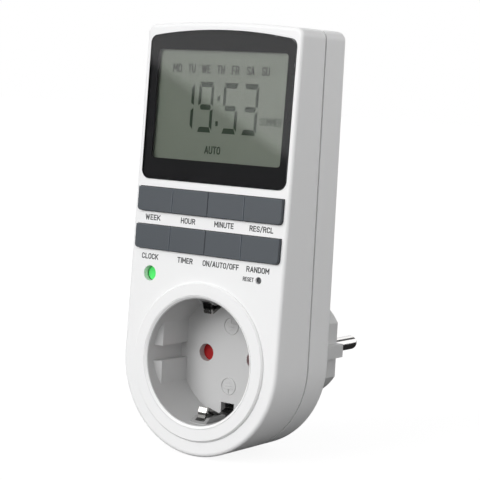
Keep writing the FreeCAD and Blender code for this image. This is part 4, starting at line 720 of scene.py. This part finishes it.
# The boards and what they carry
# Green boards with copper tracks under the mask, and the parts that stand on them: relay, capacitors,
# varistor, fuse resistor, controller and the pins that join the two boards.
def board_group():
    """Tracks under green mask: the far parts of square cells, where the distance to their middles is large,
    are paler, glossier and raised."""
    group, start, end = group_sockets(
        "board tracks", {"Mask": (0.01, 0.12, 0.03, 1), "Track": (0.03, 0.24, 0.07, 1), "Cells": 260.0},
        {"Colour": "NodeSocketColor", "Roughness": "NodeSocketFloat", "Height": "NodeSocketFloat"})
    links = group.links
    cells = group.nodes.new("ShaderNodeTexVoronoi")
    cells.distance = "MANHATTAN"
    cells.feature = "F1"
    links.new(start.outputs["Position"], cells.inputs["Vector"])
    links.new(start.outputs["Cells"], cells.inputs["Scale"])
    edge = group.nodes.new("ShaderNodeMapRange")
    edge.inputs["From Min"].default_value = 0.42
    edge.inputs["From Max"].default_value = 0.48
    links.new(cells.outputs["Distance"], edge.inputs["Value"])
    blend = group.nodes.new("ShaderNodeMix")
    blend.data_type = "RGBA"
    links.new(edge.outputs["Result"], blend.inputs["Factor"])
    links.new(start.outputs["Mask"], blend.inputs["A"])
    links.new(start.outputs["Track"], blend.inputs["B"])
    gloss = group.nodes.new("ShaderNodeMath")
    gloss.operation = "MULTIPLY_ADD"
    gloss.inputs[1].default_value = 0.15
    gloss.inputs[2].default_value = 0.25
    links.new(edge.outputs["Result"], gloss.inputs[0])
    links.new(blend.outputs["Result"], end.inputs["Colour"])
    links.new(gloss.outputs["Value"], end.inputs["Roughness"])
    links.new(edge.outputs["Result"], end.inputs["Height"])
    return group


board_tracks = board_group()
board_green, tree, links, shader = new_material("board green", (0.02, 0.16, 0.05), 0.3)
tracks = place(board_green, board_tracks)
bump = tree.new("ShaderNodeBump")
bump.inputs["Strength"].default_value = 0.4
bump.inputs["Distance"].default_value = 0.00003
links.new(tracks.outputs["Height"], bump.inputs["Height"])
links.new(bump.outputs["Normal"], shader.inputs["Normal"])
links.new(tracks.outputs["Colour"], shader.inputs["Base Color"])
links.new(tracks.outputs["Roughness"], shader.inputs["Roughness"])
dress(board_green, "display_board", "power_board")
dress(moulded("chip epoxy", (0.016, 0.016, 0.017), (0.026, 0.026, 0.027), 0.6, 0.00005, grain=3500.0),
      "controller_chip")
dress(moulded("relay blue", (0.03, 0.10, 0.30), (0.04, 0.13, 0.36), 0.35, 0.00002), "relay")
dress(moulded("capacitor yellow", (0.72, 0.55, 0.08), (0.78, 0.62, 0.12), 0.35, 0.00002), "line_capacitor")
dress(moulded("sleeve black", (0.015, 0.018, 0.03), (0.025, 0.03, 0.05), 0.3, 0.00003), "smoothing_capacitor")
dress(moulded("varistor lacquer", (0.02, 0.09, 0.32), (0.03, 0.13, 0.40), 0.3, 0.0001, grain=1200.0),
      "varistor")
dress(moulded("resistor cement", (0.36, 0.42, 0.30), (0.30, 0.36, 0.25), 0.6, 0.0001, grain=1600.0),
      "fuse_resistor")
dress(moulded("header black", (0.02, 0.02, 0.02), (0.03, 0.03, 0.03), 0.45, 0.00003), "board_link")


# The leads
# Brown for live and switched live, blue for neutral: soft insulation with a faint sheen from extrusion.
dress(moulded("insulation brown", (0.12, 0.045, 0.02), (0.15, 0.06, 0.03), 0.45, 0.00003, grain=900.0),
      "live_lead", "switched_lead")
dress(moulded("insulation blue", (0.03, 0.10, 0.36), (0.04, 0.13, 0.42), 0.45, 0.00003, grain=900.0),
      "neutral_lead")


# The studio
# A floor, soft light from all round, and one broad lamp in front and above. The lens sees white. A mirror
# sees a dark floor, a dark side that the window shows along a slanting line, and a dark strip above.
def studio_floor():
    """A level sheet, dark grey to mirrors and white to the lens, that keeps a faint shadow."""
    size, grey, dark, glow = 6.0, 0.17, 0.03, 0.9
    corners = np.array([[-size, -size, 0], [size, -size, 0], [size, size, 0], [-size, size, 0]], float)
    corners[:, 2] = cad_box[0][2] - 0.0002
    data = bpy.data.meshes.new("floor")
    data.from_pydata(corners.tolist(), [], [[0, 1, 2, 3]])
    floor = bpy.data.objects.new("floor", data)
    bpy.context.scene.collection.objects.link(floor)
    material, tree, links, shader = new_material("floor white", (grey, grey, grey), 0.9)
    shader.inputs["Specular IOR Level"].default_value = 0
    rays = tree.new("ShaderNodeLightPath")
    tone = tree.new("ShaderNodeMix")
    tone.data_type = "RGBA"
    tone.inputs["A"].default_value = (grey, grey, grey, 1)
    tone.inputs["B"].default_value = (dark, dark, dark, 1)
    links.new(rays.outputs["Is Glossy Ray"], tone.inputs["Factor"])
    links.new(tone.outputs["Result"], shader.inputs["Base Color"])
    seen = tree.new("ShaderNodeMath")
    seen.operation = "MAXIMUM"
    links.new(rays.outputs["Is Camera Ray"], seen.inputs[0])
    links.new(rays.outputs["Is Transmission Ray"], seen.inputs[1])
    direct = tree.new("ShaderNodeMath")
    direct.operation = "LESS_THAN"
    direct.inputs[1].default_value = 0.5
    links.new(rays.outputs["Diffuse Depth"], direct.inputs[0])
    lift = tree.new("ShaderNodeMath")
    lift.operation = "MULTIPLY"
    links.new(seen.outputs["Value"], lift.inputs[0])
    links.new(direct.outputs["Value"], lift.inputs[1])
    bright = tree.new("ShaderNodeMath")
    bright.operation = "MULTIPLY"
    bright.inputs[1].default_value = glow
    links.new(lift.outputs["Value"], bright.inputs[0])
    shader.inputs["Emission Color"].default_value = (1, 1, 1, 1)
    links.new(bright.outputs["Value"], shader.inputs["Emission Strength"])
    data.materials.append(material)


studio_floor()


def mirrored(x, h):
    """The way a camera ray goes after the window's face mirrors it at a place on the leaning face."""
    proud = -0.3
    point = on_face(x, proud, h)
    ray = point - np.array(eye)
    ray /= np.linalg.norm(ray)
    square = np.array([0, -math.cos(LEAN), math.sin(LEAN)])
    return ray - 2 * ray.dot(square) * square


world = bpy.data.worlds.new("studio")
bpy.context.scene.world = world
world.use_nodes = True
tree, links = world.node_tree.nodes, world.node_tree.links
rays = tree.new("ShaderNodeLightPath")
direction = tree.new("ShaderNodeTexCoord")


def combine(operation, *terms):
    """A math node over sockets or numbers."""
    node = tree.new("ShaderNodeMath")
    node.operation = operation
    for i, term in enumerate(terms):
        if isinstance(term, (int, float)):
            node.inputs[i].default_value = term
        else:
            links.new(term, node.inputs[i])
    return node.outputs["Value"]


def ramp_of(value, low, high, dark, bright):
    """A smooth step from dark to bright as the value goes from low to high."""
    node = tree.new("ShaderNodeMapRange")
    node.interpolation_type = "SMOOTHSTEP"
    for label, number in (("From Min", low), ("From Max", high), ("To Min", dark), ("To Max", bright)):
        node.inputs[label].default_value = number
    links.new(value, node.inputs["Value"])
    return node.outputs["Result"]


line_left, line_right, above_line = mirrored(-20.7, 90.0), mirrored(24.0, 68.0), mirrored(15.0, 95.0)
edge = np.cross(line_left, line_right)
edge /= np.linalg.norm(edge)
edge *= np.sign(edge.dot(above_line))
side = tree.new("ShaderNodeVectorMath")
side.operation = "DOT_PRODUCT"
side.inputs[1].default_value = edge
links.new(direction.outputs["Generated"], side.inputs[0])
axes = tree.new("ShaderNodeSeparateXYZ")
links.new(direction.outputs["Generated"], axes.inputs[0])
across, back, up = (axes.outputs[name] for name in "XYZ")
dark_side, bright_side, bright_back, horizon, zenith = 0.05, 1.06, 1.15, 1.42, 0.25
strip_sides = combine("MULTIPLY", ramp_of(across, -0.06, 0.0, 0.0, 1.0),
                      ramp_of(across, 0.26, 0.32, 1.0, 0.0))
strip_ends = combine("MULTIPLY", ramp_of(up, 0.34, 0.38, 0.0, 1.0), ramp_of(back, 0.2, 0.4, 0.0, 1.0))
strip = combine("MULTIPLY", strip_sides, strip_ends)
behind = combine("MULTIPLY", ramp_of(back, 0.0, 0.2, 0.0, bright_back),
                 ramp_of(across, -0.12, -0.02, 0.72, 1.0))
before = ramp_of(side.outputs["Value"], -0.004, 0.006, dark_side, bright_side)
mirror = combine("MULTIPLY", combine("MAXIMUM", before, behind),
                 combine("SUBTRACT", 1.0, combine("MULTIPLY", strip, 0.95)))
sky = ramp_of(up, 0.0, 1.0, horizon, zenith)
first = combine("LESS_THAN", rays.outputs["Diffuse Depth"], 0.5)
glossy = combine("MULTIPLY", rays.outputs["Is Glossy Ray"], first)
through = combine("MAXIMUM", rays.outputs["Is Camera Ray"], rays.outputs["Is Transmission Ray"])
seen = combine("MULTIPLY", through, first)
lit = combine("SUBTRACT", 1.0, combine("MAXIMUM", glossy, seen))
seen_only = combine("SUBTRACT", seen, combine("MULTIPLY", seen, glossy))
strength = combine("ADD", combine("MULTIPLY", glossy, mirror),
                   combine("ADD", combine("MULTIPLY", lit, sky), seen_only))
tree["Background"].inputs["Color"].default_value = (1, 1, 1, 1)
links.new(strength, tree["Background"].inputs["Strength"])

lamp_data = bpy.data.lights.new("key lamp", "SUN")
lamp_data.energy = 1.68
lamp_data.angle = math.radians(35)
lamp = bpy.data.objects.new("key lamp", lamp_data)
bpy.context.scene.collection.objects.link(lamp)
toward_lamp = Vector((-0.28, -0.86, 0.36))
lamp.matrix_world = toward_lamp.to_track_quat("Z", "Y").to_matrix().to_4x4()

bpy.context.scene.view_settings.view_transform = "Standard"
